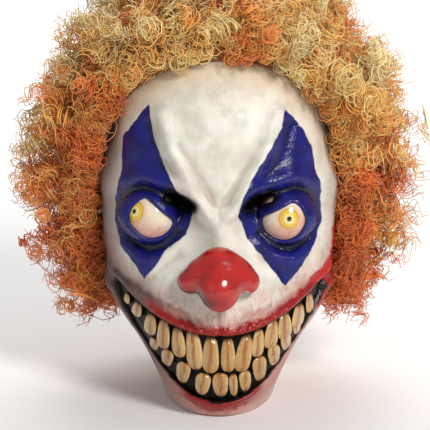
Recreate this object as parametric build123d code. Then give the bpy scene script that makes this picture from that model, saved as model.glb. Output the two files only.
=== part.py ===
"""Over-the-head latex clown mask with a curly wig, in millimetres.

The mask faces -Y, +X is on the right of someone who looks at the face, and +Z is up. The origin is under the
middle of the whole object, on the plane that its bottom rim stands on. The latex skin is one hollow casting.
The eyes, gums and teeth are set in from behind, the nose is glued on, the wig is a stretch cap that carries
rows of curled hair, and a hook-and-loop tab closes the entry slit at the nape.
"""

import math
import os

from build123d import *

# ---- driving dimensions ----
SKIN = 2.6  # wall of the latex casting
GLUE = 0.3  # clear gap between neighbouring soft pieces
CROWN_Z = 312.0  # top of the latex skull
Y_SHIFT = -6.8  # moves the head so that the whole object is centred over the origin

# The head's form, one horizontal slice a row: height, half width, front y, y of the widest point, back y.
SLICES = [
    (-18.0, 43.0, -88.0, 12.0, 76.0),
    (0.0, 46.0, -98.0, 11.0, 78.0),
    (25.0, 55.5, -111.0, 8.0, 82.0),
    (48.0, 67.0, -114.0, 5.0, 87.0),
    (78.0, 85.0, -110.0, 2.5, 92.5),
    (110.0, 93.0, -101.0, 2.0, 98.0),
    (150.0, 96.5, -97.0, 3.0, 103.0),
    (190.0, 96.5, -99.0, 5.0, 106.0),
    (230.0, 90.0, -93.0, 6.0, 103.0),
    (257.0, 81.0, -81.0, 8.0, 95.5),
    (279.0, 67.5, -63.0, 10.0, 83.0),
    (297.0, 47.0, -40.0, 12.0, 63.0),
    (308.0, 25.0, -14.0, 14.0, 41.0),
    (CROWN_Z, 8.0, 5.0, 14.0, 23.0),
]
FRONT_POWER = 2.2  # the face is a little squarer than an ellipse
BACK_POWER = 2.0
SLICE_POINTS = 16
MAX_LEAN = 3.2  # a wall that leans further than this is moved out no more than one that leans this much
MIN_HALF = 3.0  # the crown's last slice never closes to less than this half width
ROOM = 440.0  # wider, deeper and taller than the whole object, for blocks that cut it

# The hairline seen from the side, as (y, z), from above the forehead down to the nape.
HAIRLINE = [(-68, 277), (-60, 262), (-50, 243), (-37, 215), (-22, 180), (-12, 140), (-5, 100), (4, 78), (140, 74)]
HAIR_EDGE_WIDTH = 9.0
HAIR_EDGE_RISE = 0.6  # the sewn edge's inner line lies up by this share of the way it lies back
HAIR_EDGE_LEAN = 30.0  # above the forehead the cut leans this far forward, clear of the skull

# Features of the face, on the front of the head.
MOUTH_HALF = 81.0
MOUTH_UPPER = (67.0, 99.0)  # heights of the upper lip's edge, at the middle and at the corners
MOUTH_LOWER = (15.5, 92.0)
BITE = (35.0, 95.5)
GUM_WALL = 4.0
GUM_OVERLAP = 5.0
GUM_BACK, GUM_LOW, GUM_HIGH = -38.0, 3.0, 137.0  # the gums end this far back, this low and this high
GUM_REACH = 9.0  # how far past the corners of the mouth the cut along the bite runs
BITE_GAP = 1.0  # between the upper and the lower gum
EYE_X = {-1: 53.0, 1: 51.0}  # how far the left and the right eye lie from the middle
EYE_Z, EYE_RADIUS, EYE_WALL = 156.0, 21.0, 1.5
EYE_DEPTH = 10.0  # how far the eye's centre lies behind the skin
SLIT_X, SLIT_Z, SLIT_LENGTH, SLIT_HEIGHT, SLIT_TILT = 31.0, 170.0, 20.0, 6.5, 24.0
SLIT_DEPTH = 70.0  # of the block that cuts a vision slit
NOSE_Z, NOSE_WALL, NOSTRIL_RADIUS = 110.0, 2.4, 3.0
NOSE_TIP = (-120.6, 21.5)  # y and radius
NOSE_BRIDGE = (-107.0, 17.0, 10.0)  # y, radius and height above the nose's middle
NOSE_WING = (-106.0, 14.0, 18.0)  # y, radius and distance from the middle
NOSE_WING_DROP = 1.0  # how far the wings' middles lie below the nose's
NOSTRIL_DROP, NOSTRIL_BACK, NOSTRIL_DEPTH = 13.0, 2.0, 16.0

# Upper and lower teeth: middle x, width and height of each, from the left to the right.
UPPER_TEETH = [
    (-69, 5.5, 9), (-60.5, 7.0, 14), (-50.5, 9.0, 20), (-40, 9.5, 26), (-29.5, 10.0, 27), (-18, 11.0, 31),
    (-6, 11.0, 29), (6, 10.5, 28), (17.5, 11.0, 29), (28.5, 9.5, 26), (39, 10.0, 26), (50, 9.5, 21),
    (60, 7.5, 15), (69, 5.5, 10),
]
LOWER_TEETH = [
    (-58, 6.0, 9), (-48.5, 8.0, 13), (-37.5, 9.5, 17), (-25, 10.5, 17), (-12.5, 10.5, 16), (-1, 9.5, 15.5),
    (10, 8.5, 15.5), (21, 9.5, 17), (32.5, 10.5, 18), (44, 9.5, 16), (54, 7.0, 11),
]
TOOTH_CORNER = 0.3  # a tooth's ends are rounded, so its edge counts this share of its width from the middle
TOOTH_DEPTH, TOOTH_SUNK, TOOTH_CLEAR = 8.0, 2.4, 1.2
TOOTH_ROUND = 0.22  # radius of a tooth's ends, as a share of its width

# Slit and closure at the nape.
SLIT_WIDTH, BACK_SLIT_TOP = 1.6, 66.0
TAB_LENGTH, TAB_WALL, TAB_LOW, TAB_HIGH = 62.0, 1.4, 12.0, 38.0
TAB_ROOT_X = -32.0  # the fold between the tab and its stitched-down end
TAB_ANCHOR, TAB_FOLD_GAP = 14.0, 0.4
PATCH_WALL, PATCH_LENGTH = 1.0, 20.0
PATCH_INSET = 1.0  # the hook patch is this much lower and shorter than the tab, at each edge

# The wig.
CAP_GAP, CAP_WALL = 0.3, 0.8
TRACK_WALL, TRACK_HEIGHT = 1.2, 5.0
BAND_GAP = 0.1  # between the cap and what is sewn on it
BAND_SPLIT_Y = 30.0  # the hairline band ends and the nape elastic begins this far back
HAIR_GAP = 1.6  # between the sewn tracks and the tufts
HAIR_CENTRE = (0.0, 5.0, 172.0)
HAIR_HALF = (159.0, 149.0, 187.0)
HAIR_ROWS = [-47, -32, -17, -2, 13, 28, 43, 58, 73, 90]  # edges of the rows, degrees above the horizon
HAIR_SECTORS = [11, 11, 11, 11, 11, 12, 12, 10, 1]
LEAST_TURN = 60  # every row reaches at least this many degrees round from the back
HAIR_SPLIT = 0.6  # half the angle left free between tufts
CROWN_CORNERS = 10  # the crown's tuft has this many flat sides
PAD_BOTTOM = 280.0

HERE = Pos(0, Y_SHIFT, 0)


# ---- the head's form ----
def slope_at(i):
    """How far the wall leans at slice i, as horizontal over vertical, averaged over width and depth."""
    low, high = SLICES[max(i - 1, 0)], SLICES[min(i + 1, len(SLICES) - 1)]
    half_low, half_high = (low[4] - low[2]) / 2, (high[4] - high[2]) / 2
    return ((high[1] - low[1]) + (half_high - half_low)) / 2 / (high[0] - low[0])


def slice_at(i, grow):
    """Slice i of the head's form, moved out by grow along the wall's normal."""
    height, half, front, middle, back = SLICES[i]
    out = grow * min(math.hypot(1, slope_at(i)), MAX_LEAN)
    top = i == len(SLICES) - 1
    return (height + (grow if top else 0), max(half + out, MIN_HALF), front - out, middle, back + out)


def outline_point(shape, angle):
    """A point of one slice's outline. Angle 0 is +X and 90 is the back."""
    height, half, front, middle, back = shape
    c, s = math.cos(angle), math.sin(angle)
    power = BACK_POWER if s > 0 else FRONT_POWER
    depth = (back - middle) if s > 0 else (middle - front)
    x = half * math.copysign(abs(c) ** (2 / power), c)
    return (x, middle + depth * math.copysign(abs(s) ** (2 / power), s), height)


def head_form(grow=0.0):
    """The head's closed form, moved out by grow."""
    wires = []
    turn = 2 * math.pi / SLICE_POINTS
    for i in range(len(SLICES)):
        shape = slice_at(i, grow)
        points = [outline_point(shape, turn * (k + 0.5)) for k in range(SLICE_POINTS)]
        wires.append(Wire([Edge.make_spline(points, periodic=True)]))
    return Solid.make_loft(wires)


def slice_between(height, grow=0.0):
    """The slice at any height, between the two nearest rows of the table."""
    rows = [slice_at(i, grow) for i in range(len(SLICES))]
    height = min(max(height, rows[0][0]), rows[-1][0])
    for low, high in zip(rows, rows[1:]):
        if height <= high[0]:
            share = (height - low[0]) / (high[0] - low[0])
            return tuple(a + (b - a) * share for a, b in zip(low, high))
    return rows[-1]


def front_y(x, height, grow=0.0):
    """How far forward the head's form reaches at x and height."""
    _, half, front, middle, _ = slice_between(height, grow)
    reach = max(1 - (abs(x) / half) ** FRONT_POWER, 0)
    return middle - (middle - front) * reach ** (1 / FRONT_POWER)


def skull_distance(direction, grow):
    """How far the head's form reaches from the hair's centre along a unit direction."""
    low, high = 0.0, 320.0
    for _ in range(40):
        far = (low + high) / 2
        x, y, z = (HAIR_CENTRE[k] + far * direction[k] for k in range(3))
        _, half, front, middle, back = slice_between(z, grow)
        depth, power = (back - middle, BACK_POWER) if y > middle else (middle - front, FRONT_POWER)
        inside = (abs(x) / half) ** power + (abs(y - middle) / depth) ** power < 1
        inside = inside and z < CROWN_Z + grow
        low, high = (far, high) if inside else (low, far)
    return low


def slab(low, high):
    """Everything between two heights."""
    return Pos(0, 0, (low + high) / 2) * Box(ROOM, ROOM, high - low)


def in_front_of(y):
    """Everything that lies nearer to the face's side than y."""
    return Pos(0, y - ROOM / 2, ROOM / 2) * Box(ROOM, ROOM, 2 * ROOM)


# ---- the latex skin and what is set in it ----
def mouth_line(ends, x):
    """Height of one line of the mouth at x. Ends are its heights at the middle and at the corners."""
    return ends[0] + (ends[1] - ends[0]) * (x / MOUTH_HALF) ** 2


def mouth_curve(ends, reach, grow):
    """One line of the mouth from -reach to reach, moved up by grow along its normal."""
    points = []
    for k in range(-6, 7):
        x = reach * k / 6  # thirteen points carry the curve
        lean = 2 * (ends[1] - ends[0]) * x / MOUTH_HALF**2
        points.append((x, mouth_line(ends, x) + grow * math.hypot(1, lean)))
    return points


def crescent(upper, lower, reach, grow=0.0):
    """A smile-shaped prism through the front of the head, between two lines of the mouth."""
    top = mouth_curve(upper, reach + grow, grow)
    base = mouth_curve(lower, reach + grow, -grow)
    edges = [Spline(*top), Line(top[-1], base[-1]), Spline(*reversed(base)), Line(base[0], top[0])]
    return Plane.XZ * extrude(make_face(edges), ROOM / 2)


def eye_y(side):
    """How far forward an eye's centre lies. Side is -1 on the left and 1 on the right."""
    return front_y(EYE_X[side], EYE_Z) + EYE_DEPTH


def eye_ball(side, radius):
    """The ball of one eye."""
    return Pos(side * EYE_X[side], eye_y(side), EYE_Z) * Sphere(radius)


def vision_slit(side):
    """The cut above and inside an eye that the wearer looks through."""
    cut = Rot(0, -side * SLIT_TILT, 0) * slot_prism(SLIT_LENGTH, SLIT_HEIGHT, SLIT_DEPTH)
    return Pos(side * SLIT_X, front_y(SLIT_X, SLIT_Z), SLIT_Z) * cut


def slot_prism(length, height, depth):
    """A slot with round ends that runs along Y."""
    return Rot(90, 0, 0) * extrude(SlotOverall(length, height), depth / 2, both=True)


def latex_skin(form, inner):
    """The hollow head: open at the bottom rim, the mouth, the eyes and the vision slits, and slit at the nape."""
    skin = (form - inner) & slab(0, CROWN_Z + SKIN)
    skin -= crescent(MOUTH_UPPER, MOUTH_LOWER, MOUTH_HALF)
    for side in (-1, 1):
        skin -= eye_ball(side, EYE_RADIUS + GLUE)
        skin -= vision_slit(side)
    return skin - Pos(0, ROOM / 4, 0) * Box(SLIT_WIDTH, ROOM / 2, 2 * BACK_SLIT_TOP)


def eye_dome(side):
    """A hollow half ball, open at the back."""
    ball = eye_ball(side, EYE_RADIUS) - eye_ball(side, EYE_RADIUS - EYE_WALL)
    return ball & in_front_of(eye_y(side))


def gums(outer, inner):
    """The upper and lower gum: one curved plate behind the mouth, parted along the bite."""
    plate = (outer - inner) & crescent(MOUTH_UPPER, MOUTH_LOWER, MOUTH_HALF, GUM_OVERLAP)
    plate = plate & in_front_of(GUM_BACK) & slab(GUM_LOW, GUM_HIGH)
    lower_edge = [height - BITE_GAP / 2 for height in BITE]
    upper_edge = [height + BITE_GAP / 2 for height in BITE]
    below = crescent(lower_edge, (-ROOM, -ROOM), MOUTH_HALF + GUM_REACH)
    above = crescent((ROOM, ROOM), upper_edge, MOUTH_HALF + GUM_REACH)
    return plate & above, plate & below


def tooth(x, width, height, top):
    """One tooth, a rounded block that faces along the gum's normal, up to the height top."""
    middle = top - height / 2
    ahead = front_y(x + 1, middle, -SKIN - GLUE) - front_y(x - 1, middle, -SKIN - GLUE)
    turn = math.degrees(math.atan2(ahead, 2))
    body = extrude(Ellipse(width / 2, TOOTH_DEPTH / 2), height / 2, both=True)
    body = fillet(body.edges().group_by(Axis.Z)[-1] + body.edges().group_by(Axis.Z)[0], width * TOOTH_ROUND)
    y = front_y(x, middle, -SKIN - GLUE) - TOOTH_DEPTH / 2 + TOOTH_SUNK
    return Pos(x, y, middle) * Rot(0, 0, turn) * body


def upper_teeth():
    """The upper row, each tooth as tall as the table says or as the mouth leaves room for."""
    found = []
    for x, width, height in UPPER_TEETH:
        top = mouth_line(MOUTH_UPPER, max(abs(x) - width * TOOTH_CORNER, 0)) - TOOTH_CLEAR
        low = mouth_line(BITE, abs(x) + width * TOOTH_CORNER) + TOOTH_CLEAR
        found.append(tooth(x, width, min(height, top - low), top))
    return Compound(found)


def lower_teeth():
    """The lower row, which stands on the lower lip's edge."""
    found = []
    for x, width, height in LOWER_TEETH:
        top = mouth_line(BITE, max(abs(x) - width * TOOTH_CORNER, 0)) - TOOTH_CLEAR
        foot = mouth_line(MOUTH_LOWER, abs(x) + width * TOOTH_CORNER) + TOOTH_CLEAR
        height = min(height, top - foot)
        found.append(tooth(x, width, height, foot + height))
    return Compound(found)


def nose_lump(shrink):
    """The nose's closed form, moved in by shrink: a round tip, a bridge and two wings."""
    lump = Sphere(NOSE_TIP[1] - shrink).moved(Pos(0, NOSE_TIP[0], NOSE_Z))
    lump += Sphere(NOSE_BRIDGE[1] - shrink).moved(Pos(0, NOSE_BRIDGE[0], NOSE_Z + NOSE_BRIDGE[2]))
    for side in (-1, 1):
        wing = Pos(side * NOSE_WING[2], NOSE_WING[0], NOSE_Z - NOSE_WING_DROP)
        lump += Sphere(NOSE_WING[1] - shrink).moved(wing)
    return lump


def nose(clear_head):
    """A hollow bulb with two wings, open at the back where it is glued to the face, with two nostrils."""
    bulb = nose_lump(0) - clear_head - nose_lump(NOSE_WALL)
    for side in (-1, 1):
        hole = Pos(side * NOSE_WING[2], NOSE_WING[0] - NOSTRIL_BACK, NOSE_Z - NOSTRIL_DROP)
        bulb -= hole * Cylinder(NOSTRIL_RADIUS, NOSTRIL_DEPTH)
    return bulb


# ---- closure at the nape ----
def curved_strip(inner, outer, x_low, x_high, z_low, z_high):
    """A piece of the layer between two head forms, on the nape."""
    middle_x, middle_z = (x_low + x_high) / 2, (z_low + z_high) / 2
    block = Pos(middle_x, ROOM / 4, middle_z) * Box(x_high - x_low, ROOM / 2, z_high - z_low)
    return (outer - inner) & block


# ---- the wig ----
def behind_hairline(shift=0.0):
    """Everything behind the hairline, or behind a line shift further back and a smaller way up."""
    line = [(y + shift, z + shift * HAIR_EDGE_RISE) for y, z in HAIRLINE]
    far = [(ROOM, line[-1][1]), (ROOM, ROOM), (line[0][0] - HAIR_EDGE_LEAN, ROOM)]
    side_view = make_face(Polyline(*line, *far, close=True))
    return Plane.YZ * extrude(side_view, ROOM / 2, both=True)


def direction_of(turn, rise):
    """A unit direction. Turn 0 is straight back and grows towards +X, and rise is above the horizon."""
    turn, rise = math.radians(turn), math.radians(rise)
    return (math.sin(turn) * math.cos(rise), math.cos(turn) * math.cos(rise), math.sin(rise))


def hairline_turn(rise):
    """How far round from the back the hair reaches at this rise."""
    for turn in range(180, LEAST_TURN, -1):
        d = direction_of(turn, rise)
        far = skull_distance(d, 0)
        y, z = HAIR_CENTRE[1] + far * d[1], HAIR_CENTRE[2] + far * d[2]
        for (y0, z0), (y1, z1) in zip(HAIRLINE, HAIRLINE[1:]):
            if z1 <= z <= z0 and y > y0 + (y1 - y0) * (z - z0) / (z1 - z0):
                return turn
        if z > HAIRLINE[0][1]:
            return turn
    return LEAST_TURN


def tuft(turn_low, turn_high, rise_low, rise_high):
    """One clump of hair: a flat-sided block that widens from the cap to the outside of the wig."""
    middle = direction_of((turn_low + turn_high) / 2, (rise_low + rise_high) / 2)
    corners = [
        direction_of(turn_low, rise_low),
        direction_of(turn_high, rise_low),
        direction_of(turn_high, rise_high),
        direction_of(turn_low, rise_high),
    ]
    return block_between(middle, corners)


def along(direction, middle):
    """The share of a direction that runs along the middle one."""
    return sum(a * b for a, b in zip(direction, middle))


def block_between(middle, corners):
    """A block with flat ends across the middle direction and an edge along each corner direction."""
    clear = CAP_GAP + CAP_WALL + TRACK_WALL + HAIR_GAP
    probes = list(corners) + [middle]
    for a, b in zip(corners, corners[1:] + corners[:1]):
        between = [(p + q) / 2 for p, q in zip(a, b)]
        size = math.hypot(*between)
        probes.append(tuple(v / size for v in between))
    inner = max(skull_distance(d, clear) * along(d, middle) for d in probes)
    outer = 1 / math.sqrt(sum((middle[k] / HAIR_HALF[k]) ** 2 for k in range(3)))
    rings = []
    for distance in (inner, outer):
        points = []
        for d in corners:
            far = distance / along(d, middle)
            points.append(tuple(HAIR_CENTRE[k] + far * d[k] for k in range(3)))
        rings.append(Wire.make_polygon(points, close=True))
    return Solid.make_loft(rings, ruled=True)


def hair_row(index):
    """One row of tufts round the head, or the single round tuft of the crown."""
    low, high = HAIR_ROWS[index] + HAIR_SPLIT, HAIR_ROWS[index + 1] - HAIR_SPLIT
    count = HAIR_SECTORS[index]
    if count == 1:
        corners = [direction_of(360 * k / CROWN_CORNERS, low) for k in range(CROWN_CORNERS)]
        return Compound([block_between((0.0, 0.0, 1.0), corners)])
    reach = hairline_turn((low + high) / 2)
    step = 2 * reach / count
    split = HAIR_SPLIT / math.cos(math.radians((low + high) / 2))
    tufts = []
    for k in range(count):
        start = -reach + k * step
        tufts.append(tuft(start + split, start + step - split, low, high))
    print("hair row", index, "reaches", reach, "degrees round from the back")
    return Compound(tufts)


def track_heights():
    """Height on the skull of each row's sewn track, at the back of the head."""
    heights = []
    for low, high in zip(HAIR_ROWS[:-2], HAIR_ROWS[1:-1]):
        d = direction_of(0, (low + high) / 2)
        heights.append(HAIR_CENTRE[2] + skull_distance(d, 0) * d[2])
    return heights


def write(name, shape):
    """Writes one node, moved to its place over the origin."""
    solids = [HERE * s for s in shape.solids()]
    export_step(Compound(solids) if len(solids) > 1 else solids[0], f"parts/{name}.step")
    box = Compound(solids).bounding_box()
    print(f"{name:16s} {len(solids):2d} solids  low {tuple(round(v, 1) for v in box.min)}"
          f"  high {tuple(round(v, 1) for v in box.max)}")


def write_face():
    """The latex skin and the pieces that are set in it or glued on it."""
    write("latex_skin", latex_skin(head_form(), head_form(-SKIN)))
    write("left_eye", eye_dome(-1))
    write("right_eye", eye_dome(1))
    just_inside = head_form(-SKIN - GLUE)
    upper_gum, lower_gum = gums(just_inside, head_form(-SKIN - GLUE - GUM_WALL))
    write("upper_gum", upper_gum)
    write("lower_gum", lower_gum)
    write("upper_teeth", upper_teeth())
    write("lower_teeth", lower_teeth())
    write("nose_bulb", nose(head_form(GLUE)))
    write("crown_pad", just_inside & slab(PAD_BOTTOM, CROWN_Z))


def write_closure():
    """The tab at the nape, its stitched-down end and the two patches between the tab and the skin."""
    hook_inside = 2 * GLUE + PATCH_WALL
    tab_inside = hook_inside + PATCH_WALL + GLUE
    skin_side = head_form(GLUE)
    tab_outside = head_form(tab_inside + TAB_WALL)
    tab_end = TAB_ROOT_X + TAB_LENGTH
    patch = (tab_end - PATCH_LENGTH, tab_end)
    write("loop_patch", curved_strip(skin_side, head_form(GLUE + PATCH_WALL), *patch, TAB_LOW, TAB_HIGH))
    hook_layer = (head_form(hook_inside), head_form(hook_inside + PATCH_WALL))
    write("hook_patch", curved_strip(*hook_layer, *patch, TAB_LOW + PATCH_INSET, TAB_HIGH - PATCH_INSET))
    write("closure_tab", curved_strip(head_form(tab_inside), tab_outside, TAB_ROOT_X, tab_end, TAB_LOW, TAB_HIGH))
    anchor_end = TAB_ROOT_X - TAB_FOLD_GAP
    anchor = curved_strip(skin_side, tab_outside, anchor_end - TAB_ANCHOR, anchor_end, TAB_LOW, TAB_HIGH)
    write("tab_anchor", anchor)


def write_cap():
    """The stretch cap, the band and the elastic along its edge, and the sewn tracks."""
    cap_outside = CAP_GAP + CAP_WALL
    hair_side = behind_hairline()
    write("wig_cap", (head_form(cap_outside) - head_form(CAP_GAP)) & hair_side)
    layer = head_form(cap_outside + TRACK_WALL) - head_form(cap_outside + BAND_GAP)
    edge = (layer & hair_side) - behind_hairline(HAIR_EDGE_WIDTH)
    write("hairline_band", edge & in_front_of(BAND_SPLIT_Y))
    write("nape_elastic", edge - in_front_of(BAND_SPLIT_Y + 1))
    behind_edge = layer & behind_hairline(HAIR_EDGE_WIDTH + 1)
    tracks = []
    for height in track_heights():
        ring = behind_edge & slab(height - TRACK_HEIGHT / 2, height + TRACK_HEIGHT / 2)
        tracks += list(ring.solids())
    write("weft_tracks", Compound(tracks))


def main():
    os.makedirs("parts", exist_ok=True)
    write_face()
    write_closure()
    write_cap()
    for index, count in enumerate(HAIR_SECTORS):
        write("hair_crown" if count == 1 else f"hair_row_{index + 1}", hair_row(index))


main()
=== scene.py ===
# %% [markdown]
# # A latex clown mask with a curly wig
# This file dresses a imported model. The hollow head, eyes, gums, teeth, nose, cap and closure tab
# are already in place as plain solids, and each one is either given a finish or replaced by a
# detailed piece that stands where the solid stands. Lengths in the tables are in millimetres,
# because that is how a mask maker measures a face, and they are turned into metres when a mesh is
# made.

# %% Load the frame
import math
import random
from collections import namedtuple

import bmesh
import bpy
import numpy as np
from mathutils import Matrix, Vector, noise
from mathutils.bvhtree import BVHTree


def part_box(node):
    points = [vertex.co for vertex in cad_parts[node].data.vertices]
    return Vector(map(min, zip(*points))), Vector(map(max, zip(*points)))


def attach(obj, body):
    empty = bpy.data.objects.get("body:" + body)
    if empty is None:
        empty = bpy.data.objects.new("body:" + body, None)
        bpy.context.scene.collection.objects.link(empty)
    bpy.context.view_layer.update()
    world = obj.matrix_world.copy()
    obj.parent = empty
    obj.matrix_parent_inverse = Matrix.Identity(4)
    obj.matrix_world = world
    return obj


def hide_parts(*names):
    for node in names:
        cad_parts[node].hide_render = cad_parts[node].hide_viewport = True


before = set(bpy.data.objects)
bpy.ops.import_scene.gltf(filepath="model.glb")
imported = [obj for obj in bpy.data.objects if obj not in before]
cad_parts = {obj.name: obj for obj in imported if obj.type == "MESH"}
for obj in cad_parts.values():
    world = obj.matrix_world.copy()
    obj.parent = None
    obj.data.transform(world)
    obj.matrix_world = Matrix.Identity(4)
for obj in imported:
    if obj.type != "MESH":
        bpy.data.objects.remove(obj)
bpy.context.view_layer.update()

MM = 0.001
scene = bpy.context.scene

# %% [markdown]
# ## Helpers for finishes
# Every finish is built from nodes. These short functions add a node, link what is a socket and
# set what is a value, so that a finish below reads as a recipe: a noise, a threshold, a coat of
# colour. A value that is the same all over is set on the shader's own socket.

# %% Node helpers
def new_finish(name, roughness=0.5):
    """A material and its shader node."""
    made = bpy.data.materials.new(name)
    made.use_nodes = True
    shader = made.node_tree.nodes["Principled BSDF"]
    shader.inputs["Roughness"].default_value = roughness
    return made, shader


def feed(finish, socket, value):
    """Links a socket to an input, or sets the input's value."""
    if isinstance(value, bpy.types.NodeSocket):
        finish.node_tree.links.new(value, socket)
    elif isinstance(value, tuple) and len(value) == 3 and socket.type == "RGBA":
        socket.default_value = (*value, 1)
    else:
        socket.default_value = value


def add_node(finish, kind, settings, inputs):
    """A new shader node with its settings and its inputs, by name or by number."""
    made = finish.node_tree.nodes.new("ShaderNode" + kind)
    for name, value in settings.items():
        setattr(made, name, value)
    for name, value in inputs.items():
        feed(finish, made.inputs[name], value)
    return made


print("node helpers ready")


# %% Noise, sums and thresholds
def place_of(finish, stretch=(1, 1, 1)):
    """Object coordinates, squeezed along an axis where the pattern should be drawn out."""
    place = add_node(finish, "TexCoord", {}, {}).outputs["Object"]
    return add_node(finish, "Mapping", {}, {"Vector": place, "Scale": stretch}).outputs["Vector"]


def grain(finish, size_mm, detail=3.0, stretch=(1, 1, 1), distortion=0.0):
    """A noise whose blotches are about size_mm across."""
    inputs = {"Vector": place_of(finish, stretch), "Scale": 1000 / size_mm}
    inputs |= {"Detail": detail, "Distortion": distortion}
    return add_node(finish, "TexNoise", {}, inputs).outputs["Fac"]


def math_node(finish, operation, a, b):
    """One sum on two values."""
    return add_node(finish, "Math", {"operation": operation}, {0: a, 1: b}).outputs[0]


def plus(finish, a, b):
    """Two values added."""
    return math_node(finish, "ADD", a, b)


def times(finish, a, b):
    """Two values multiplied."""
    return math_node(finish, "MULTIPLY", a, b)


def wavering(finish, value, unevenness, amount):
    """A value with some noise in it, so that a line drawn where it passes a threshold wavers."""
    return plus(finish, value, times(finish, unevenness, amount))


def step(finish, value, low, high):
    """0 where value is below low and 1 above high, with a soft change. Low may be the higher one."""
    inputs = {"Value": value, "From Min": low, "From Max": high}
    return add_node(finish, "MapRange", {"interpolation_type": "SMOOTHSTEP"}, inputs).outputs[0]


print("noise, sum and threshold helpers ready")


# %% Blends, stored values and bumps
def blend_colours(finish, share, first, second):
    """The first colour where share is 0 and the second where it is 1."""
    return add_node(finish, "Mix", {"data_type": "RGBA"}, {0: share, 6: first, 7: second}).outputs[2]


def coat(finish, under, share, strength, paint):
    """A coat of paint over a colour, where share is 1, at a strength from 0 to 1."""
    return blend_colours(finish, times(finish, share, strength), under, paint)


def blend_values(finish, share, first, second):
    """The first number where share is 0 and the second where it is 1."""
    return add_node(finish, "Mix", {"data_type": "FLOAT"}, {0: share, 2: first, 3: second}).outputs[0]


def stored(finish, name):
    """A number stored on the mesh's points."""
    return add_node(finish, "Attribute", {"attribute_name": name}, {}).outputs["Fac"]


def roughen(finish, shader, height, strength, distance_mm):
    """Bumps the surface by a height value."""
    inputs = {"Height": height, "Strength": strength, "Distance": distance_mm * MM}
    feed(finish, shader.inputs["Normal"], add_node(finish, "Bump", {}, inputs).outputs["Normal"])


print("blend helpers ready")

# %% [markdown]
# ## Camera, floor and light
# The mask is seen from straight ahead and a little above, through a long lens, so the face isn't
# distorted. The crown runs out of the top of the picture. One soft light stands at the front
# right and above. The one on the left is very weak, which leaves the left side of the face in
# shadow. A large one behind whitens the floor and lights the edges of the hair.

# %% Camera
FACE_Y = -101.8 * MM
AIM = Vector((-3.5 * MM, FACE_Y, 160.5 * MM))
ELEVATION = math.radians(12)
DISTANCE = 1.7  # metres from the face
VIEW_WIDTH = 0.331  # metres that the picture takes in across, at the face

camera = bpy.data.objects.new("camera", bpy.data.cameras.new("camera"))
scene.collection.objects.link(camera)
camera.data.lens = camera.data.sensor_width * DISTANCE / VIEW_WIDTH
towards_camera = Vector((0, -math.cos(ELEVATION), math.sin(ELEVATION)))
camera.location = AIM + DISTANCE * towards_camera
camera.rotation_euler = (-towards_camera).to_track_quat("-Z", "Y").to_euler()
scene.camera = camera
scene.view_settings.view_transform = "Standard"
print("lens", round(camera.data.lens), "mm")

# %% Floor and lights
LIT_PLACE = Vector((0, 0, 0.17))  # the lights face this place, the middle of the mask


def area_light(name, place, size, power, colour=(1, 1, 1)):
    """A square soft light at place that faces the middle of the mask."""
    light = bpy.data.lights.new(name, "AREA")
    light.size = size
    light.energy = power
    light.color = colour
    lamp = bpy.data.objects.new(name, light)
    scene.collection.objects.link(lamp)
    lamp.location = place
    lamp.rotation_euler = (LIT_PLACE - Vector(place)).to_track_quat("-Z", "Y").to_euler()


floor_shape = bmesh.new()
bmesh.ops.create_grid(floor_shape, x_segments=1, y_segments=1, size=12)
floor_mesh = bpy.data.meshes.new("floor")
floor_shape.to_mesh(floor_mesh)
floor = bpy.data.objects.new("floor", floor_mesh)
floor_finish, floor_shader = new_finish("pale_floor", 0.8)
feed(floor_finish, floor_shader.inputs["Base Color"], (0.9, 0.9, 0.9))
floor_mesh.materials.append(floor_finish)
scene.collection.objects.link(floor)

area_light("key", (0.75, -1.25, 1.15), 0.45, 22, (1.0, 0.98, 0.95))
area_light("fill", (-1.4, -1.3, 0.5), 1.0, 1, (0.95, 0.97, 1.0))
area_light("back", (0, 2.4, 2.2), 2.6, 75)
world = bpy.data.worlds.new("studio")
world.use_nodes = True
sky = world.node_tree.nodes["Background"]
sky.inputs["Color"].default_value = (1, 1, 1, 1)
sky.inputs["Strength"].default_value = 0.36
scene.world = world

# %% [markdown]
# ## Helpers for pieces
# A piece starts as a bmesh from one of Blender's own shapes. Its points are then read into a
# table, moved by a formula and written back, which is sculpting by rule. The object stays at the
# origin and its place is in its mesh. Lines cast onto a plain node's surface say where a piece
# that follows it must lie.

# %% Make a piece
def place_piece(name, mesh, body, nodes=()):
    """Makes a mesh a smooth piece that rides on a body and stands for the plain nodes."""
    mesh.shade_smooth()
    piece = bpy.data.objects.new(name, mesh)
    scene.collection.objects.link(piece)
    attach(piece, body)
    if nodes:
        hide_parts(*nodes)
    return piece


def start_piece(shape, name, finishes, body, nodes=()):
    """Turns a bmesh into a piece with its finishes."""
    mesh = bpy.data.meshes.new(name)
    shape.to_mesh(mesh)
    shape.free()
    for finish in finishes:
        mesh.materials.append(finish)
    return place_piece(name, mesh, body, nodes)


print("piece helpers ready")


# %% Move and measure points
def read_points(shape):
    """The bmesh's points as a table of x, y and z in millimetres."""
    return np.array([v.co for v in shape.verts]) / MM


def write_points(shape, points):
    """Moves the bmesh's points to a table in millimetres."""
    for vert, point in zip(shape.verts, points * MM):
        vert.co = point


def store(piece, name, values):
    """Stores one number for each point of a piece, for its finish to read."""
    data = piece.data.attributes.new(name, "FLOAT", "POINT")
    data.data.foreach_set("value", np.asarray(values, np.float32))


def thicken(piece, wall_mm, inside_slot=0):
    """Gives a sheet its wall, inwards from the surface it was modelled on."""
    wall = piece.modifiers.new("wall", "SOLIDIFY")
    wall.thickness = wall_mm * MM
    wall.offset = -1
    wall.use_even_offset = False
    wall.material_offset = inside_slot


def lumps(points, size_mm, seed=0.0):
    """A noise from -1 to 1 at each point."""
    shift = Vector((seed, seed * 1.7, -seed))
    return np.array([noise.noise(Vector(p) / size_mm + shift) for p in points])


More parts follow.
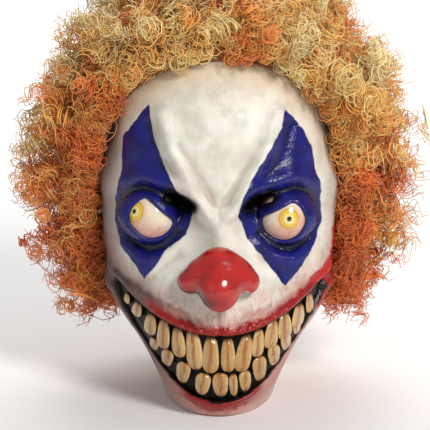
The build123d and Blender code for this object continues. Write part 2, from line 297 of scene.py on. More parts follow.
def tree_of(node):
    """A plain node's surface, for lines to be cast onto."""
    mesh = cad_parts[node].data
    return BVHTree.FromPolygons([v.co for v in mesh.vertices], [p.vertices for p in mesh.polygons])


def triangles(piece):
    """How many triangles the piece has, with its modifiers."""
    shown = piece.evaluated_get(bpy.context.evaluated_depsgraph_get())
    mesh = shown.to_mesh()
    count = sum(len(f.vertices) - 2 for f in mesh.polygons)
    shown.to_mesh_clear()
    return count


print("mesh helpers ready")

# %% [markdown]
# ## The head's form
# The latex is cast on a form: a narrow chin, wide cheeks and a full crown. The form is a stack of
# horizontal slices, each an ellipse that is slightly squared at the front, and the values between
# two slices follow a smooth cubic. The face is modelled on this form, so that it lies where the
# plain skin lies.

# %% The form
HEAD_Y = -6.8  # the head's middle stands this far in front of the origin
SLICES = np.array([  # height, half width, front, widest point, back
    (-18, 43, -88, 12, 76), (0, 46, -98, 11, 78), (25, 55.5, -111, 8, 82),
    (48, 67, -114, 5, 87), (78, 85, -110, 2.5, 92.5), (110, 93, -101, 2, 98),
    (150, 96.5, -97, 3, 103), (190, 96.5, -99, 5, 106), (230, 90, -93, 6, 103),
    (257, 81, -81, 8, 95.5), (279, 67.5, -63, 10, 83), (297, 47, -40, 12, 63),
    (308, 25, -14, 14, 41), (312, 8, 5, 14, 23),
])
SLICE_SLOPES = np.gradient(SLICES[:, 1:], SLICES[:, 0], axis=0)
FRONT_POWER = 2.2


def slice_at(height):
    """Half width, front, widest point and back of the form at a height."""
    height = np.clip(height, SLICES[0, 0], SLICES[-1, 0])
    row = np.clip(np.searchsorted(SLICES[:, 0], height) - 1, 0, len(SLICES) - 2)
    low, high = SLICES[row], SLICES[row + 1]
    gap = high[..., 0] - low[..., 0]
    t = ((height - low[..., 0]) / gap)[..., None]
    gap = gap[..., None]
    value = (2 * t**3 - 3 * t**2 + 1) * low[..., 1:] + (3 * t**2 - 2 * t**3) * high[..., 1:]
    value += (t**3 - 2 * t**2 + t) * gap * SLICE_SLOPES[row] + (t**3 - t**2) * gap * SLICE_SLOPES[row + 1]
    return np.moveaxis(value, -1, 0)


def front_y(x, height):
    """How far forward the form reaches at x and height."""
    half, front, middle, _ = slice_at(height)
    reach = np.clip(1 - (np.abs(x) / half) ** FRONT_POWER, 0, 1)
    return middle - (middle - front) * reach ** (1 / FRONT_POWER) + HEAD_Y


print("form is", round(float(slice_at(np.array(150.0))[0]) * 2), "mm wide at the eyes")

# %% [markdown]
# ## Lines of the face
# The mouth, the eye openings, the slits and the blue diamonds are drawn on the form as distances:
# each is a value that is 0 on the line, below 0 inside and above 0 outside, in millimetres. One
# such value cuts a hole, shapes a lip and places the paint, so all three agree.

# %% Distances
MOUTH_UPPER, MOUTH_LOWER = (67.0, 99.0), (15.5, 92.0)  # heights at the middle and at the corners
MOUTH_HALF = 81.0
SLIT_MIDDLE, SLIT_HALF = (31.0, 170.0), 8.2
SLIT_TILT, SLIT_RADIUS = math.radians(24), 3.6
eye_boxes = {-1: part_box("left_eye"), 1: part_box("right_eye")}
EYE_X = {side: (low.x + high.x) / 2 / MM for side, (low, high) in eye_boxes.items()}
EYE_Y = {side: high.y / MM for side, (low, high) in eye_boxes.items()}
EYE_Z = (eye_boxes[1][0].z + eye_boxes[1][1].z) / 2 / MM
EYE_RADIUS = (eye_boxes[1][1].x - eye_boxes[1][0].x) / 2 / MM


def smooth_max(a, b, softness):
    """The larger of two values, with a rounded change between them."""
    return 0.5 * (a + b + np.sqrt((a - b) ** 2 + softness**2))


def mouth_line(ends, x):
    """Height of the upper or lower edge of the mouth at x."""
    return ends[0] + (ends[1] - ends[0]) * (x / MOUTH_HALF) ** 2


def mouth_distance(x, z):
    """Distance from the mouth's edge."""
    sides = []
    for ends, sign in ((MOUTH_UPPER, 1), (MOUTH_LOWER, -1)):
        lean = 2 * (ends[1] - ends[0]) * x / MOUTH_HALF**2
        sides.append(sign * (z - mouth_line(ends, x)) / np.hypot(1, lean))
    return smooth_max(smooth_max(sides[0], sides[1], 1.0), np.abs(x) - MOUTH_HALF, 2.0)


def line_distance(x, z, points):
    """Distance from a line through some points."""
    best = np.full(np.shape(x), 1e6)
    for (x0, z0), (x1, z1) in zip(points, points[1:]):
        run, rise = x1 - x0, z1 - z0
        share = np.clip(((x - x0) * run + (z - z0) * rise) / (run**2 + rise**2), 0, 1)
        best = np.minimum(best, np.hypot(x - x0 - share * run, z - z0 - share * rise))
    return best


def outline_distance(x, z, points):
    """Distance from a closed outline, negative inside."""
    closed = points + points[:1]
    inside = np.zeros(np.shape(x), bool)
    for (x0, z0), (x1, z1) in zip(closed, closed[1:]):
        if z0 != z1:
            crossing = (x1 - x0) * (z - z0) / (z1 - z0) + x0
            inside ^= ((z0 > z) != (z1 > z)) & (x < crossing)
    return np.where(inside, -1, 1) * line_distance(x, z, closed)


def slit_distance(x, z):
    """Distance from the nearer vision slit's edge."""
    across, up = SLIT_HALF * math.cos(SLIT_TILT), SLIT_HALF * math.sin(SLIT_TILT)
    middle_x, middle_z = SLIT_MIDDLE
    ends = [(middle_x - across, middle_z - up), (middle_x + across, middle_z + up)]
    return line_distance(np.abs(x), z, ends) - SLIT_RADIUS


print("eyes at", [round(x, 1) for x in EYE_X.values()], "and height", round(EYE_Z, 1))
print("eye radius", round(EYE_RADIUS, 1))

# %% [markdown]
# An angry eye is a round opening with its upper inner part cut off by a straight lid. The two
# eyes aren't twins: the left lid falls steeply and the right one lies flatter. The diamonds
# differ a little too, as a hand would paint them.

# %% Eyes and diamonds
OPENINGS = {-1: (-51.7, 157.4, 17.9), 1: (49.2, 155.4, 17.8)}  # middle and radius
LIDS = {-1: (0.66, 0.75, 9.6), 1: (-0.447, 0.894, 10.4)}  # the lid's direction and its distance
LEFT_DIAMOND = [
    (-54.6, 243), (-51, 221), (-43, 198), (-30.5, 175), (-20.5, 160.5),
    (-26, 144), (-42, 131), (-58.5, 107), (-66, 118), (-78, 131),
    (-84, 147), (-82.5, 165), (-76.5, 184), (-77, 202), (-76.5, 215),
]
RIGHT_DIAMOND = [
    (50, 241), (48, 227), (39.5, 212), (27, 194), (18, 175), (14, 161),
    (21.5, 142), (34.5, 125), (51, 103), (65.5, 119), (76, 135),
    (82, 148), (80, 172), (75, 188), (73, 206), (66, 221),
]


def eye_distance(x, z, side):
    """Distance from the edge of one eye's opening."""
    middle_x, middle_z, radius = OPENINGS[side]
    across, up = x - middle_x, z - middle_z
    lean_x, lean_z, reach = LIDS[side]
    return smooth_max(np.hypot(across, up) - radius, across * lean_x + up * lean_z - reach, 2.0)


def diamond_distance(x, z):
    """Distance from the edge of the nearer painted diamond."""
    return np.minimum(outline_distance(x, z, LEFT_DIAMOND), outline_distance(x, z, RIGHT_DIAMOND))


print("diamonds have", len(LEFT_DIAMOND), "and", len(RIGHT_DIAMOND), "points")

# %% [markdown]
# ## Relief of the face
# What a sculptor adds to the form is written as ridges, mounds and folds: a knotted brow that
# runs down to the nose like a Y, deep sockets with lids drawn over the eyeballs, full cheeks, a
# muzzle with creases above the lip, and lips that roll inwards at the mouth. Heights are how far
# a point comes forward, in millimetres.

# %% Relief
def ridge(x, z, points, width, height):
    """A rounded ridge along a line, or a groove where height is negative."""
    return height * np.exp(-((line_distance(x, z, points) / width) ** 2))


def mound(x, z, middle, size, height):
    """A rounded mound, or a hollow where height is negative."""
    return height * np.exp(-(((x - middle[0]) / size[0]) ** 2) - ((z - middle[1]) / size[1]) ** 2)


def brow_relief(x, z):
    """The frown: two ridges that meet above the nose, the brow's edges, and furrows between."""
    both = np.abs(x)
    total = ridge(both, z, [(46, 236), (36, 210), (23, 186), (11, 165)], 7.5, 6.0)
    total += ridge(both, z, [(32, 214), (17, 191), (5, 170)], 4.2, -3.0)
    total += ridge(both, z, [(54, 226), (47, 206), (39, 192)], 8.0, -4.0)
    total += ridge(both, z, [(9, 162), (22, 176), (40, 186), (60, 189), (76, 181)], 7.0, 6.0)
    total += ridge(x, z, [(1, 173), (-1, 160)], 3.0, -1.4)
    total += mound(x, z, (6, 172), (4, 4), -1.8)
    total += ridge(x, z, [(-15, 226), (-4, 220), (8, 223), (18, 230)], 3.0, -0.9)
    total += ridge(x, z, [(-22, 244), (-6, 238), (10, 240), (24, 247)], 3.0, -0.7)
    total += mound(both, z, (86, 214), (13, 26), -4)
    return total


def socket_relief(x, z):
    """The sockets, with a deeper hollow under the inner brow and a crease under each eye."""
    both = np.abs(x)
    total = mound(both, z, (51, 156), (30, 23), -9)
    total += mound(both, z, (30, 166), (12, 9), -12)
    total += ridge(both, z, [(30, 146), (40, 134), (55, 129), (70, 136)], 2.4, -2.4)
    total += ridge(both, z, [(32, 138), (44, 127), (60, 124), (73, 131)], 4.0, 2.2)
    return total


def middle_relief(x, z):
    """The bridge that widens down to the nose, the muzzle, the cheeks and the folds beside them."""
    both = np.abs(x)
    total = ridge(x, z, [(0, 168), (0, 150)], 8, 5)
    total += ridge(x, z, [(0, 150), (0, 128)], 13, 9)
    total += mound(x, z, (0, 112), (34, 24), 7)
    total += mound(x, z, (0, 86), (52, 17), 4)
    total += mound(both, z, (66, 117), (19, 15), 6)
    total += mound(both, z, (88, 172), (9, 14), 3)
    total += ridge(both, z, [(31, 128), (45, 116), (58, 103), (76, 99)], 4.5, -2.4)
    total += ridge(both, z, [(82, 98), (89, 106), (93, 118)], 3.0, -2.6)
    total += ridge(both, z, [(86, 92), (94, 102)], 5.0, 3.0)
    return total


def crease_relief(x, z):
    """Creases that fan out above the lip, deeper on the left, and one under the nose."""
    total = ridge(x, z, [(0, 70), (-0.5, 90)], 1.6, -1.6)
    for side, depth in ((-1, -3.4), (1, -1.8)):
        for k in range(8):
            foot = 12 + 7.2 * k
            start = mouth_line(MOUTH_UPPER, foot) + 5
            bend = (foot + 4 + k * 0.6, start + 8)
            end = (foot + 11 + k, start + 13 + 0.6 * k)
            total += ridge(side * x, z, [(foot, start), bend, end], 1.9, depth * (1 if k % 3 else 0.6))
    return total


def lip_relief(x, z):
    """Lips that swell and then roll inwards to the edge of the mouth, and the chin under them."""
    edge = mouth_distance(x, z)
    total = 4.6 * np.exp(-(((edge - 4.6) / 3.4) ** 2))
    total -= 5.5 * np.exp(-((np.maximum(edge, 0) / 1.5) ** 2))
    total += ridge(x, z, [(-20, 12), (0, 9.5), (20, 12)], 4.0, -1.2)
    total += mound(x, z, (0, 2), (20, 6), 2.5)
    return total


LID_THICKNESS = 2.2


def lid_relief(x, z, base_y):
    """How far forward a lid lies when it is drawn over the eyeball."""
    over = EYE_RADIUS + LID_THICKNESS
    height = np.full(np.shape(x), -40.0)
    for side, eye_x in EYE_X.items():
        away = np.hypot(x - eye_x, z - EYE_Z)
        lid_y = EYE_Y[side] - np.sqrt(np.clip(over**2 - away**2, 0, None))
        height = np.where(away < over, base_y - lid_y, height)
    return height


print("brow stands", round(float(brow_relief(np.array(24.0), np.array(180.0))), 1), "mm proud")

# %% [markdown]
# ## The latex skin
# The skin starts as a flat grid that is rolled round the form, like a sheet round a drum, with
# its seam at the nape, where the real mask is slit. Most columns are at the front, where the
# detail is. Faces inside the mouth, the eyes and the slits are taken out, and the points beside
# each hole slide onto its line, so that the edge is smooth.

# %% Roll the sheet
COLUMNS, FACE_ROWS, CROWN_ROWS = 232, 172, 13
CROWN_START = 262  # the crown's rows start at this height
FRONT_SINE = 0.02  # a point is on the front where the sine of its angle is below minus this
NAPE_SLIT_HALF, NAPE_SLIT_TOP = 0.8, 66.0


def row_heights():
    """Heights of the grid's rows: even up the face, then even along the curve of the crown."""
    fine = np.linspace(CROWN_START, SLICES[-1, 0], 400)
    half = slice_at(fine)[0]
    run = np.concatenate([[0], np.cumsum(np.hypot(np.diff(fine), np.diff(half)))])
    crown = np.interp(np.linspace(0, run[-1], CROWN_ROWS + 1)[1:], run, fine)
    return np.concatenate([np.linspace(0, CROWN_START, FACE_ROWS), crown])


def column_angles():
    """Angles of the columns, from the nape round the left side and back, closer at the front."""
    t = np.linspace(-1, 1, COLUMNS + 1)
    return math.radians(-90) + math.pi * (0.54 * t + 0.46 * t**3)


heights, angles = row_heights(), column_angles()
sheet = bmesh.new()
bmesh.ops.create_grid(sheet, x_segments=COLUMNS, y_segments=len(heights) - 1, size=0.5)
sheet.verts.ensure_lookup_table()
flat = np.array([v.co for v in sheet.verts])
column = np.rint((flat[:, 0] + 0.5) * COLUMNS).astype(int)
row = np.rint((flat[:, 1] + 0.5) * (len(heights) - 1)).astype(int)
print("sheet of", COLUMNS, "by", len(heights) - 1, "faces")

# %% Wrap it round the form
half, front, middle, back = slice_at(heights[row])
cosine, sine = np.cos(angles[column]), np.sin(angles[column])
power = np.where(sine > 0, 2.0, FRONT_POWER)
depth = np.where(sine > 0, back - middle, middle - front)
skin_x = half * np.sign(cosine) * np.abs(cosine) ** (2 / power)
skin_y = middle + depth * np.sign(sine) * np.abs(sine) ** (2 / power) + HEAD_Y
skin_z = heights[row].copy()
at_seam = (column == 0) | (column == COLUMNS)
gap = NAPE_SLIT_HALF * np.clip((NAPE_SLIT_TOP - skin_z) / 6, 0, 1) ** 0.5
skin_x = np.where(at_seam, np.where(column == 0, -gap, gap), skin_x)
on_front = sine < -FRONT_SINE
print("front points", int(on_front.sum()), "of", len(skin_x))


# %% Cut the openings
def opening_distance(x, z):
    """Distance from the nearest opening's edge."""
    eyes = np.minimum(eye_distance(x, z, -1), eye_distance(x, z, 1))
    return np.minimum(np.minimum(mouth_distance(x, z), eyes), slit_distance(x, z))


def slide_to_edge(x, z):
    """Moves points along the slope of the distance until they lie on an opening's edge."""
    for _ in range(3):
        here = opening_distance(x, z)
        slope_x = (opening_distance(x + 0.05, z) - here) / 0.05
        slope_z = (opening_distance(x, z + 0.05) - here) / 0.05
        size = np.maximum(slope_x**2 + slope_z**2, 0.2)
        x, z = x - here * slope_x / size, z - here * slope_z / size
    return x, z


edge = np.where(on_front, opening_distance(skin_x, skin_z), 99.0)
sheet.faces.ensure_lookup_table()
holes = [f for f in sheet.faces if sum(edge[v.index] for v in f.verts) / 4 < 0]
bmesh.ops.delete(sheet, geom=holes, context="FACES_ONLY")
beside = np.array([v.is_boundary and abs(edge[v.index]) < 3 for v in sheet.verts])
moved_x, moved_z = slide_to_edge(skin_x[beside], skin_z[beside])
skin_x[beside], skin_z[beside] = moved_x, moved_z
skin_y[beside] = front_y(moved_x, moved_z)
print("faces cut out", len(holes), "points slid", int(beside.sum()))

# %% Raise the relief
on_form = np.stack([skin_x, skin_y, skin_z], 1)
soft_lumps = lumps(on_form, 14, 3.0)
fine_lumps = lumps(on_form, 5, 8.0)
relief = brow_relief(skin_x, skin_z) + socket_relief(skin_x, skin_z) + middle_relief(skin_x, skin_z)
relief += crease_relief(skin_x, skin_z)
lids = lid_relief(skin_x, skin_z, skin_y)
relief = smooth_max(relief, lids, 1.2)
relief += lip_relief(skin_x, skin_z)
face_share = np.clip((-sine - FRONT_SINE) / 0.25, 0, 1) * np.clip((268 - skin_z) / 30, 0, 1)
face = relief * face_share + 0.55 * soft_lumps + 0.18 * fine_lumps
relief = np.where(on_front, face, 0.35 * soft_lumps)
relief *= np.clip(skin_z / 3, 0, 1) ** 0.5
sideways = np.clip((np.abs(skin_x) - 66) / 26, 0, 1)
outward = np.stack([skin_x / 97, (skin_y - HEAD_Y) / 100, np.zeros_like(skin_x)], 1)
outward /= np.maximum(np.linalg.norm(outward, axis=1, keepdims=True), 1e-6)
push = outward * sideways[:, None] + np.array([0, -1, 0]) * (1 - sideways)[:, None]
push = np.where(on_front[:, None], push, outward)
skin_points = on_form + push * relief[:, None]
print("relief from", round(float(relief.min()), 1), "to", round(float(relief.max()), 1), "mm")

# %% [markdown]
# The painter's wash settles in the hollows, and it is painted shade as well, for it darkens them as
# the shade that falls there would. To find them, the relief is compared with a blurred copy of
# itself: where the blurred one is higher, the point lies in a hollow. Paint lines are stored on the
# points as distances in millimetres, and areas as a strength from 0 to 1, and the finish turns them
# into coats.

# %% Hollows and paint lines
def blurred(values, rounds):
    """Values on the sheet's grid, each averaged with its neighbours a number of times."""
    table = np.zeros((len(heights), COLUMNS + 1))
    table[row, column] = values
    for _ in range(rounds):
        padded = np.pad(table, 1, mode="edge")
        table = (padded[:-2, 1:-1] + padded[2:, 1:-1] + padded[1:-1, :-2] + padded[1:-1, 2:]) / 4
    return table[row, column]


hollow = blurred(relief, 14) - relief
HAIRLINE_Y = np.array([-68, -60, -50, -37, -22, -12, -5, 4]) + HEAD_Y
HAIRLINE_Z = np.array([277, 262, 243, 215, 180, 140, 100, 78])
SWATH = [(74, 104), (86, 109), (93, 122), (95, 138)]  # the red that runs past the right corner
FAR = 60  # a distance for points where a line isn't painted


def face_only(distance):
    """A distance that counts on the front alone."""
    return np.where(on_front, distance, FAR)


from_mouth = face_only(mouth_distance(skin_x, skin_z))
above_mouth = skin_z - mouth_line(MOUTH_UPPER, skin_x)
upper_red = np.clip((skin_x + 66) / 34, 0, 1)
lower_red = np.exp(-((np.abs(skin_x) / 33) ** 4)) + np.clip((skin_x - 74) / 6, 0, 1)
# Painted shade on the sides of the face: strong on the left, away from the key light, faint on the right.
left_side_shade = np.clip((-skin_x - 72) / 16, 0, 1)
right_side_shade = 0.3 * np.clip((skin_x - 76) / 16, 0, 1)
paint = {
    "hollow": hollow,
    "diamond": face_only(diamond_distance(skin_x, skin_z)),
    "mouth": from_mouth,
    "slit": face_only(slit_distance(skin_x, skin_z)),
    "above_mouth": above_mouth,
    "red": np.where(skin_z > mouth_line((41, 94), skin_x), upper_red, lower_red),
    # Near-black grime and painted shade at the left of the mouth.
    "grime_and_shade": np.clip((-skin_x - 26) / 28, 0, 1),
    "muzzle": np.clip((32 - from_mouth) / 14, 0, 1) * (above_mouth > 0),
    # How deep the creases are, for the wash and painted shade in them.
    "crease": np.where(on_front, -crease_relief(skin_x, skin_z) / 2.4, 0),
    # Painted shade on the sides of the face.
    "side_shade": np.maximum(left_side_shade, right_side_shade),
    "swath": face_only(line_distance(skin_x, skin_z, SWATH)),
    "to_hair": np.interp(skin_z, HAIRLINE_Z[::-1], HAIRLINE_Y[::-1]) - skin_y,
}
print("deepest hollow", round(float(hollow.max()), 1), "mm")

# %% [markdown]
# ## The finish of the face
# Raw latex is a warm off-white. Over it lie a grey-green and a rosy mottle, a yellow mist towards
# the hairline, painted shade on the sides of the face that is strongest on the left, and a brown
# wash in the creases and hollows that is also painted shade. Round the mouth come a pink blush that
# is stronger on the chin, near-black grime and painted shade at the left corner, the red lip with a
# swath past the right corner, and black at the very edge. Last come the glossy blue diamonds, with
# painted shade in their hollows and on the left, and the black round the slits, which also paints
# the shade of the openings. Each coat is one threshold on a stored value, and a little noise in that
# value makes the edge look brushed.

# %% Washes
def washed_latex(made, wobble, ripples):
    """The colour under the paint: mottled latex, painted shade at the sides and in creases and hollows."""
    mottle = step(made, grain(made, 16, 6.0), 0.40, 0.68)
    colour = blend_colours(made, mottle, (0.76, 0.735, 0.66), (0.60, 0.59, 0.51))
    rosy = step(made, grain(made, 30, 4.0), 0.46, 0.66)
    colour = coat(made, colour, rosy, 0.35, (0.62, 0.46, 0.41))
    mist = step(made, stored(made, "to_hair"), 34, 4)
    colour = coat(made, colour, mist, 0.55, (0.66, 0.50, 0.27))
    # Painted shade on the sides of the face, stronger on the left.
    colour = coat(made, colour, stored(made, "side_shade"), 0.8, (0.27, 0.24, 0.24))
    # A brown wash in the creases, which is also painted shade.
    crease_wash_and_shade = times(made, stored(made, "crease"), step(made, grain(made, 9, 4.0), 0.2, 0.6))
    colour = blend_colours(made, math_node(made, "MINIMUM", crease_wash_and_shade, 0.8), colour, (0.25, 0.165, 0.14))
    colour = coat(made, colour, ripples, 0.6, (0.42, 0.26, 0.22))
    # A brown wash in the hollows, which is also painted shade.
    wash_and_shade = step(made, wavering(made, stored(made, "hollow"), wobble, 0.9), 0.15, 1.7)
    return coat(made, colour, wash_and_shade, 0.5, (0.36, 0.27, 0.23))


# %% Paint round the mouth
def mouth_paint(made, colour, wobble, fine):
    """Blush, grime with painted shade, red and black round the mouth. Also says where the glossy red lies.
    """
    mouth = stored(made, "mouth")
    above = step(made, stored(made, "above_mouth"), -6, 4)
    share_of_reach = math_node(made, "DIVIDE", mouth, blend_values(made, above, 36.0, 32.0))
    patches = blend_values(made, above, 1.0, step(made, grain(made, 9, 4.0), 0.2, 0.7))
    flush = times(made, step(made, share_of_reach, 1.0, 0.25), patches)
    blush = blend_colours(made, above, (0.48, 0.15, 0.115), (0.56, 0.25, 0.20))
    colour = coat(made, colour, flush, 0.78, blush)
    # Grime and painted shade at the left corner, on the side away from the light.
    grime_and_shade = step(made, wavering(made, mouth, wobble, 12.0), 27.0, 4.0)
    colour = coat(made, colour, times(made, grime_and_shade, stored(made, "grime_and_shade")), 0.85, (0.085, 0.055, 0.055))
    streaks = step(made, wavering(made, stored(made, "red"), wobble, 1.2), 0.15, 0.65)
    lip = times(made, step(made, wavering(made, mouth, wobble, 9.0), 12.6, 7.4), streaks)
    red = blend_colours(made, fine, (0.36, 0.014, 0.011), (0.22, 0.009, 0.007))
    colour = blend_colours(made, lip, colour, red)
    swath = step(made, wavering(made, stored(made, "swath"), wobble, 6.0), 5.5, 2.5)
    colour = blend_colours(made, swath, colour, (0.46, 0.020, 0.016))
    ink = step(made, wavering(made, mouth, wobble, 4.0), 3.4, 1.6)
    colour = blend_colours(made, ink, colour, (0.010, 0.007, 0.006))
    return colour, math_node(made, "MAXIMUM", lip, times(made, swath, 0.85))


# %% Paint round the eyes
def eye_area_paint(made, colour, wobble):
    """The blue diamonds and the black round the slits. Also says where the glossy blue lies."""
    blue = step(made, wavering(made, stored(made, "diamond"), wobble, 3.4), 0.6, -0.5)
    cloud = step(made, grain(made, 12, 4.0), 0.3, 0.8)
    cobalt = blend_colours(made, cloud, (0.009, 0.011, 0.165), (0.0045, 0.005, 0.08))
    # Painted shade: the blue darkens in hollows and at the sides of the face, most on the left.
    shade = plus(made, stored(made, "hollow"), stored(made, "side_shade"))
    blue_shade = step(made, wavering(made, shade, wobble, 1.6), 0.2, 2.4)
    cobalt = blend_colours(made, blue_shade, cobalt, (0.004, 0.004, 0.03))
    colour = blend_colours(made, blue, colour, cobalt)
    # Black paint round the slits, which also paints the shade of the openings.
    dark = step(made, wavering(made, stored(made, "slit"), wobble, 4.0), 6.0, 1.5)
    return blend_colours(made, dark, colour, (0.006, 0.005, 0.010)), blue


# %% Painted and bare latex
def painted_latex():
    """The face's outer finish: its coats, glossier where the paint is thick, over a fine grain."""
    made, shader = new_finish("painted_latex")
    wobble = math_node(made, "SUBTRACT", grain(made, 9), 0.5)
    fine = grain(made, 1.6, 2.0)
    ripples = step(made, grain(made, 8.5, 2.5, (1.9, 1.0, 0.6), 1.4), 0.44, 0.70)
    ripples = times(made, ripples, stored(made, "muzzle"))
    colour = washed_latex(made, wobble, ripples)
    colour, glossy_red = mouth_paint(made, colour, wobble, fine)
    colour, glossy_blue = eye_area_paint(made, colour, wobble)
    feed(made, shader.inputs["Base Color"], colour)
    glossy = math_node(made, "MAXIMUM", glossy_blue, glossy_red)
    dull_value, glossy_value = blend_values(made, fine, 0.40, 0.52), blend_values(made, fine, 0.16, 0.26)
    feed(made, shader.inputs["Roughness"], blend_values(made, glossy, dull_value, glossy_value))
    height = plus(made, times(made, grain(made, 3.2, 5.0), 0.8), fine)
    height = math_node(made, "SUBTRACT", height, times(made, ripples, 1.2))
    roughen(made, shader, height, 0.4, 0.8)
    shader.inputs["Specular IOR Level"].default_value = 0.35
    return made


def bare_latex():
    """Unpainted latex on the inside: cream, with the cloudy look of a dried casting."""
    made, shader = new_finish("bare_latex", 0.55)
    cloud = step(made, grain(made, 22, 5.0), 0.35, 0.7)
    colour = blend_colours(made, cloud, (0.62, 0.53, 0.36), (0.50, 0.41, 0.26))
    feed(made, shader.inputs["Base Color"], colour)
    roughen(made, shader, grain(made, 2.0, 4.0), 0.3, 0.5)
    return made


face_paint, raw_latex = painted_latex(), bare_latex()
print("finishes", face_paint.name, raw_latex.name)

# %% Close the crown, weld the seam and place the skin
SKIN_WALL = 2.3
write_points(sheet, skin_points)
for name, values in paint.items():
    layer = sheet.verts.layers.float.new(name)
    for vert, value in zip(sheet.verts, values):
        vert[layer] = value
bmesh.ops.delete(sheet, geom=[v for v in sheet.verts if not v.link_faces], context="VERTS")
crown_edge = (SLICES[-1, 0] - 0.5) * MM
crown_ring = [e for e in sheet.edges if e.is_boundary and min(v.co.z for v in e.verts) > crown_edge]
bmesh.ops.edgeloop_fill(sheet, edges=crown_ring)
seam = [v for v in sheet.verts if v.is_boundary and abs(v.co.x) < 0.002 and v.co.y > 0]
bmesh.ops.remove_doubles(sheet, verts=seam, dist=0.0002)
bmesh.ops.recalc_face_normals(sheet, faces=sheet.faces)
skin = start_piece(sheet, "latex_skin_cast", [face_paint, raw_latex], "mask", ["latex_skin"])
thicken(skin, SKIN_WALL, inside_slot=1)
print("skin triangles", triangles(skin))

# %% [markdown]
# ## The nose
# The nose is a soft wide triangle: a drooping tip between two wings, with a nostril pressed up on
# each side. It is shaped from a ball. Each point slides along its own line from the middle until
# it lies on a skin stretched over a few overlapping egg shapes, with two more eggs pressed out of
# it. Its back is laid on the face.

# %% Shape the nose
NOSE_MIDDLE = np.array([0, -112 + HEAD_Y, 114])
NOSE_EGGS = [  # middle and half sizes: the tip, the bridge, then the shoulders and the wings
    ((0, -124, 108), (15.5, 16, 17)),
    ((0, -113, 121), (17, 15, 18)),
    ((-11, -111, 117), (14, 14, 13.5)),
    ((11, -111, 117), (14, 14, 13.5)),
    ((-21, -108, 111), (11.5, 13, 9.5)),
    ((20, -108, 110.5), (11, 13, 9.5)),
]
NOSTRIL_EGGS = [((-17, -118, 96.5), (6.5, 9, 6.5)), ((18, -118, 98.5), (5.5, 9, 7))]
SKIN_SOFTNESS = 3.0  # how widely the skin over the eggs bridges the gaps between them


def egg_distance(points, egg):
    """Rough distance of points from one egg's surface."""
    middle, size = np.array(egg[0]) + (0, HEAD_Y, 0), np.array(egg[1])
    return (np.linalg.norm((points - middle) / size, axis=1) - 1) * size.min()


def nose_distance(points):
    """Distance from the skin over all the eggs, with the nostrils pressed in."""
    joined = sum(np.exp(-egg_distance(points, egg) / SKIN_SOFTNESS) for egg in NOSE_EGGS)
    outside = -SKIN_SOFTNESS * np.log(np.maximum(joined, 1e-30))
    for egg in NOSTRIL_EGGS:
        outside = smooth_max(outside, -egg_distance(points, egg), 2.0)
    return outside


ball = bmesh.new()
bmesh.ops.create_icosphere(ball, subdivisions=6, radius=MM)
rays = read_points(ball)
near, far = np.full(len(rays), 2.0), np.full(len(rays), 50.0)
for _ in range(26):
    middle_way = (near + far) / 2
    inside = nose_distance(NOSE_MIDDLE + rays * middle_way[:, None]) < 0
    near, far = np.where(inside, middle_way, near), np.where(inside, far, middle_way)
nose_points = NOSE_MIDDLE + rays * near[:, None]
unevenness = 0.35 * lumps(nose_points, 9, 5.0) + 0.12 * lumps(nose_points, 3, 2.0)
nose_points += rays * unevenness[:, None]


def skin_front(x, z):
    """How far forward the modelled face reaches at x and z, without its creases and lumps."""
    relief = brow_relief(x, z) + socket_relief(x, z) + middle_relief(x, z) + lip_relief(x, z)
    return front_y(x, z) - relief


NOSE_SUNK = 0.8  # the nose's back lies this far behind the face
nose_back = skin_front(nose_points[:, 0], nose_points[:, 2]) + NOSE_SUNK
nose_points[:, 1] = np.minimum(nose_points[:, 1], nose_back)
write_points(ball, nose_points)
bmesh.ops.recalc_face_normals(ball, faces=ball.faces)
print("nose", np.round(nose_points.min(0), 1), np.round(nose_points.max(0), 1))


# %% Nose finish
def nose_paint():
    """Glossy red paint with painted shade under the wings, most on the left, worn to white at the
    nostrils.
    """
    made, shader = new_finish("nose_paint", 0.22)
    cloud = step(made, grain(made, 11, 4.0), 0.3, 0.75)
    colour = blend_colours(made, cloud, (0.48, 0.013, 0.008), (0.31, 0.008, 0.006))
    # Painted shade: brownish black under the wings of the nose.
    shade = step(made, stored(made, "shade"), 0.2, 1.0)
    shade = times(made, shade, step(made, grain(made, 6, 4.0), 0.1, 0.7))
    colour = blend_colours(made, shade, colour, (0.055, 0.010, 0.006))
    nostril = stored(made, "nostril")
    worn = step(made, wavering(made, nostril, grain(made, 2.5, 3.0), 3.0), 3.1, 2.3)
    colour = blend_colours(made, worn, colour, (0.62, 0.58, 0.50))
    # Painted shade: near black inside the nostril hollows.
    colour = blend_colours(made, step(made, nostril, 0.6, -0.4), colour, (0.012, 0.004, 0.004))
    feed(made, shader.inputs["Base Color"], colour)
    roughen(made, shader, grain(made, 2.2, 4.0), 0.22, 0.4)
    shader.inputs["Coat Weight"].default_value = 0.4
    shader.inputs["Coat Roughness"].default_value = 0.12
    return made


nose = start_piece(ball, "nose_bulb_cast", [nose_paint()], "mask", ["nose_bulb"])
nostril_edge = np.minimum(*[egg_distance(nose_points, egg) for egg in NOSTRIL_EGGS])
store(nose, "nostril", nostril_edge - 0.5)
# Painted shade under the wings, strong on the left and faint on the right.
left_wing_shade = mound(nose_points[:, 0], nose_points[:, 2], (-18, 100), (14, 8), 1.8)
right_wing_shade = mound(nose_points[:, 0], nose_points[:, 2], (16, 100), (7, 5), 0.5)
store(nose, "shade", np.maximum(left_wing_shade, right_wing_shade))
print("nose triangles", triangles(nose))

# %% [markdown]
# ## The eyes
# Each eye is a thin dome with a wet lacquer. The iris isn't a texture: each point stores how far
# it is, over the ball, from where the eye looks, and the finish turns that distance into a black
# pupil, a pale inner ring, a yellow iris and a veined white, which is pinker below. Where the ball
# goes under the lids it is darkened with painted shade. The left eye looks far out to the side and
# the right one nearly straight ahead.

